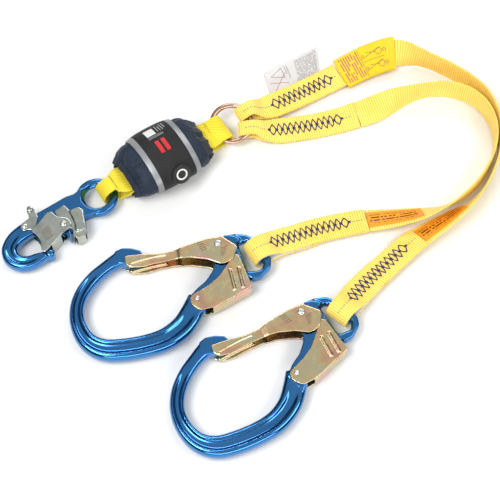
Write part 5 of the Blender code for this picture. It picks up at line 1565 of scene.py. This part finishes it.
def build_round_tab():
    """The round rubber tab with a plain raised ring on it."""
    radius, depth = 11.0, 1.6
    profile = [(radius - 0.5, 0.0), (radius, 0.3), (radius, depth - 0.5), (radius - 0.4, depth),
               (radius - 1.6, depth), (radius - 1.9, depth - 0.25), (0.05, depth - 0.25)]
    matrix = surface_frame(2.0, 70.0, 2 * GAP + BAND_WALL)
    made = new_object("absorber_round_tab_moulding", turned((0, 0), profile, 72), matrix)
    finish_piece(made, "lanyard", "black_rubber", "absorber_round_tab", sharp=45)
    mark = [(radius * 0.42, depth - 0.3), (radius * 0.44, depth - 0.05),
            (radius * 0.58, depth - 0.05), (radius * 0.60, depth - 0.3)]
    rings = [[(x, y, z) for x, y in circle((0, 0), r, 48)] for r, z in mark]
    made = new_object("absorber_round_tab_mark", loft(rings, closed=True), matrix)
    finish_piece(made, "lanyard", "white_label", paint="white_print", sharp=45)


BAND_PRINT = (                   # from and to along the pack, then degrees from the top
    (-9.0, 2.0, 24.0, 44.0, "white_print"),
    (-9.0, 9.0, 17.0, 17.8, "grey_print"), (-9.0, 9.0, 20.0, 20.8, "grey_print"),
    (5.0, 5.9, 26.0, 46.0, "grey_print"), (8.0, 8.9, 26.0, 42.0, "grey_print"),
    (11.0, 11.9, 26.0, 46.0, "grey_print"), (14.0, 14.9, 30.0, 46.0, "grey_print"),
    (-6.0, -1.5, -16.0, 9.0, "red_print"), (1.5, 6.0, -16.0, 9.0, "red_print"),
)


def build_band_label():
    """A small printed label and plain print lines on the band's upper side."""
    lift = GAP + BAND_WALL + 0.06
    meshes = {"white_print": [], "grey_print": [], "red_print": []}
    for low, high, left, right, paint in BAND_PRINT:
        rows = []
        for x in np.linspace(low, high, 2 + round((high - low) / 1.5)):
            angles = np.linspace(math.radians(left), math.radians(right),
                                 2 + round((right - left) / 2.0))
            top = [cover_point(x, a, lift + 0.12) for a in angles]
            under = [cover_point(x, a, lift - 0.02) for a in angles[::-1]]
            rows.append(top + under)
        meshes[paint].append(loft(rows))
    for paint, group in meshes.items():
        made = new_object(f"absorber_band_{paint}", joined(group), PACK)
        finish_piece(made, "lanyard", "white_label", paint=paint, sharp=50)


# ------------------------------------------------------------------ camera, light and floor
# Height of the sky, from the horizon at 0 to overhead at 1, and its brightness: a dark
# band between the floor and the overhead light gives the metal its dark edges.
SKY = ((0.001, 0.85), (0.10, 0.30), (0.30, 0.07), (0.55, 0.10), (0.76, 0.80), (0.999, 1.0))
LAMPS = (
    ("key", (-0.7, -0.5, 1.5), (0.9, 0.7), 19.0),
    ("front", (0.3, -1.7, 0.75), (2.2, 0.6), 17.0),
    ("fill", (1.1, -0.4, 1.2), (1.0, 0.5), 8.0),
    ("back", (0.2, 1.3, 1.1), (1.4, 0.4), 11.0),
)


def build_stage():
    floor = bpy.data.meshes.new("floor")
    floor.from_pydata([(-3, -3, 0), (3, -3, 0), (3, 3, 0), (-3, 3, 0)], [], [(0, 1, 2, 3)])
    plane = bpy.data.objects.new("floor", floor)
    plane.location.z = -0.0003
    bpy.context.scene.collection.objects.link(plane)
    paint = Paint("floor", (0.86, 0.86, 0.85), 0.55, Specular_IOR_Level=0.25)
    grain = paint.noise(paint.coordinates(), 3.0, 2.0)
    paint.colour(paint.mix(grain, (0.88, 0.88, 0.87), (0.84, 0.84, 0.83)))
    floor.materials.append(paint.material)
    bpy.context.scene.view_settings.view_transform = "Standard"
    world = bpy.data.worlds.new("studio")
    bpy.context.scene.world = world
    world.use_nodes = True
    background = world.node_tree.nodes["Background"]
    nodes, links = world.node_tree.nodes, world.node_tree.links
    split = nodes.new("ShaderNodeSeparateXYZ")
    links.new(nodes.new("ShaderNodeTexCoord").outputs["Generated"], split.inputs["Vector"])
    ramp = nodes.new("ShaderNodeValToRGB")
    links.new(split.outputs["Z"], ramp.inputs["Fac"])
    for place, level in SKY:
        stop = ramp.color_ramp.elements.new(place)
        stop.color = (level * 0.97, level * 0.985, level, 1)
    links.new(ramp.outputs["Color"], background.inputs["Color"])
    background.inputs["Strength"].default_value = 0.68
    for name, place, size, power in LAMPS:
        lamp = bpy.data.lights.new(name, "AREA")
        lamp.shape = "RECTANGLE"
        lamp.size, lamp.size_y = size
        lamp.energy = power
        made = bpy.data.objects.new(name, lamp)
        made.location = place
        made.rotation_euler = Vector(place).to_track_quat("Z", "Y").to_euler()
        bpy.context.scene.collection.objects.link(made)


def build_camera():
    target = Vector((LAYOUT_SHIFT[0], LAYOUT_SHIFT[1], 0)) * MM
    tilt = math.radians(VIEW_ELEVATION)
    lens = bpy.data.cameras.new("camera")
    lens.lens = LENS
    lens.sensor_width = 36.0
    made = bpy.data.objects.new("camera", lens)
    back = Vector((0, -math.cos(tilt), math.sin(tilt)))
    made.location = target + back * VIEW_DISTANCE * MM
    made.rotation_euler = back.to_track_quat("Z", "Y").to_euler()
    bpy.context.scene.collection.objects.link(made)
    bpy.context.scene.camera = made


def main():
    build_camera()
    leg_a = leg_stations(LEG_A_ROUTE, RING_BAR_A, 28.0, "rebar_hook_a", HOOK_A_ANGLE, 0.0)
    leg_b = leg_stations(LEG_B_ROUTE, RING_BAR_B, 3.0, "rebar_hook_b", HOOK_B_ANGLE, 8.0)
    made_a = build_leg("a", leg_a, 9.8)
    made_b = build_leg("b", leg_b, 11.5)
    sleeve = build_sleeve(leg_a)
    build_warning_tag()
    build_absorber()
    build_ring()
    build_snap_hook()
    build_rebar_hook("a", HOOK_A_ANGLE)
    build_rebar_hook("b", HOOK_B_ANGLE)
    build_stage()


main()
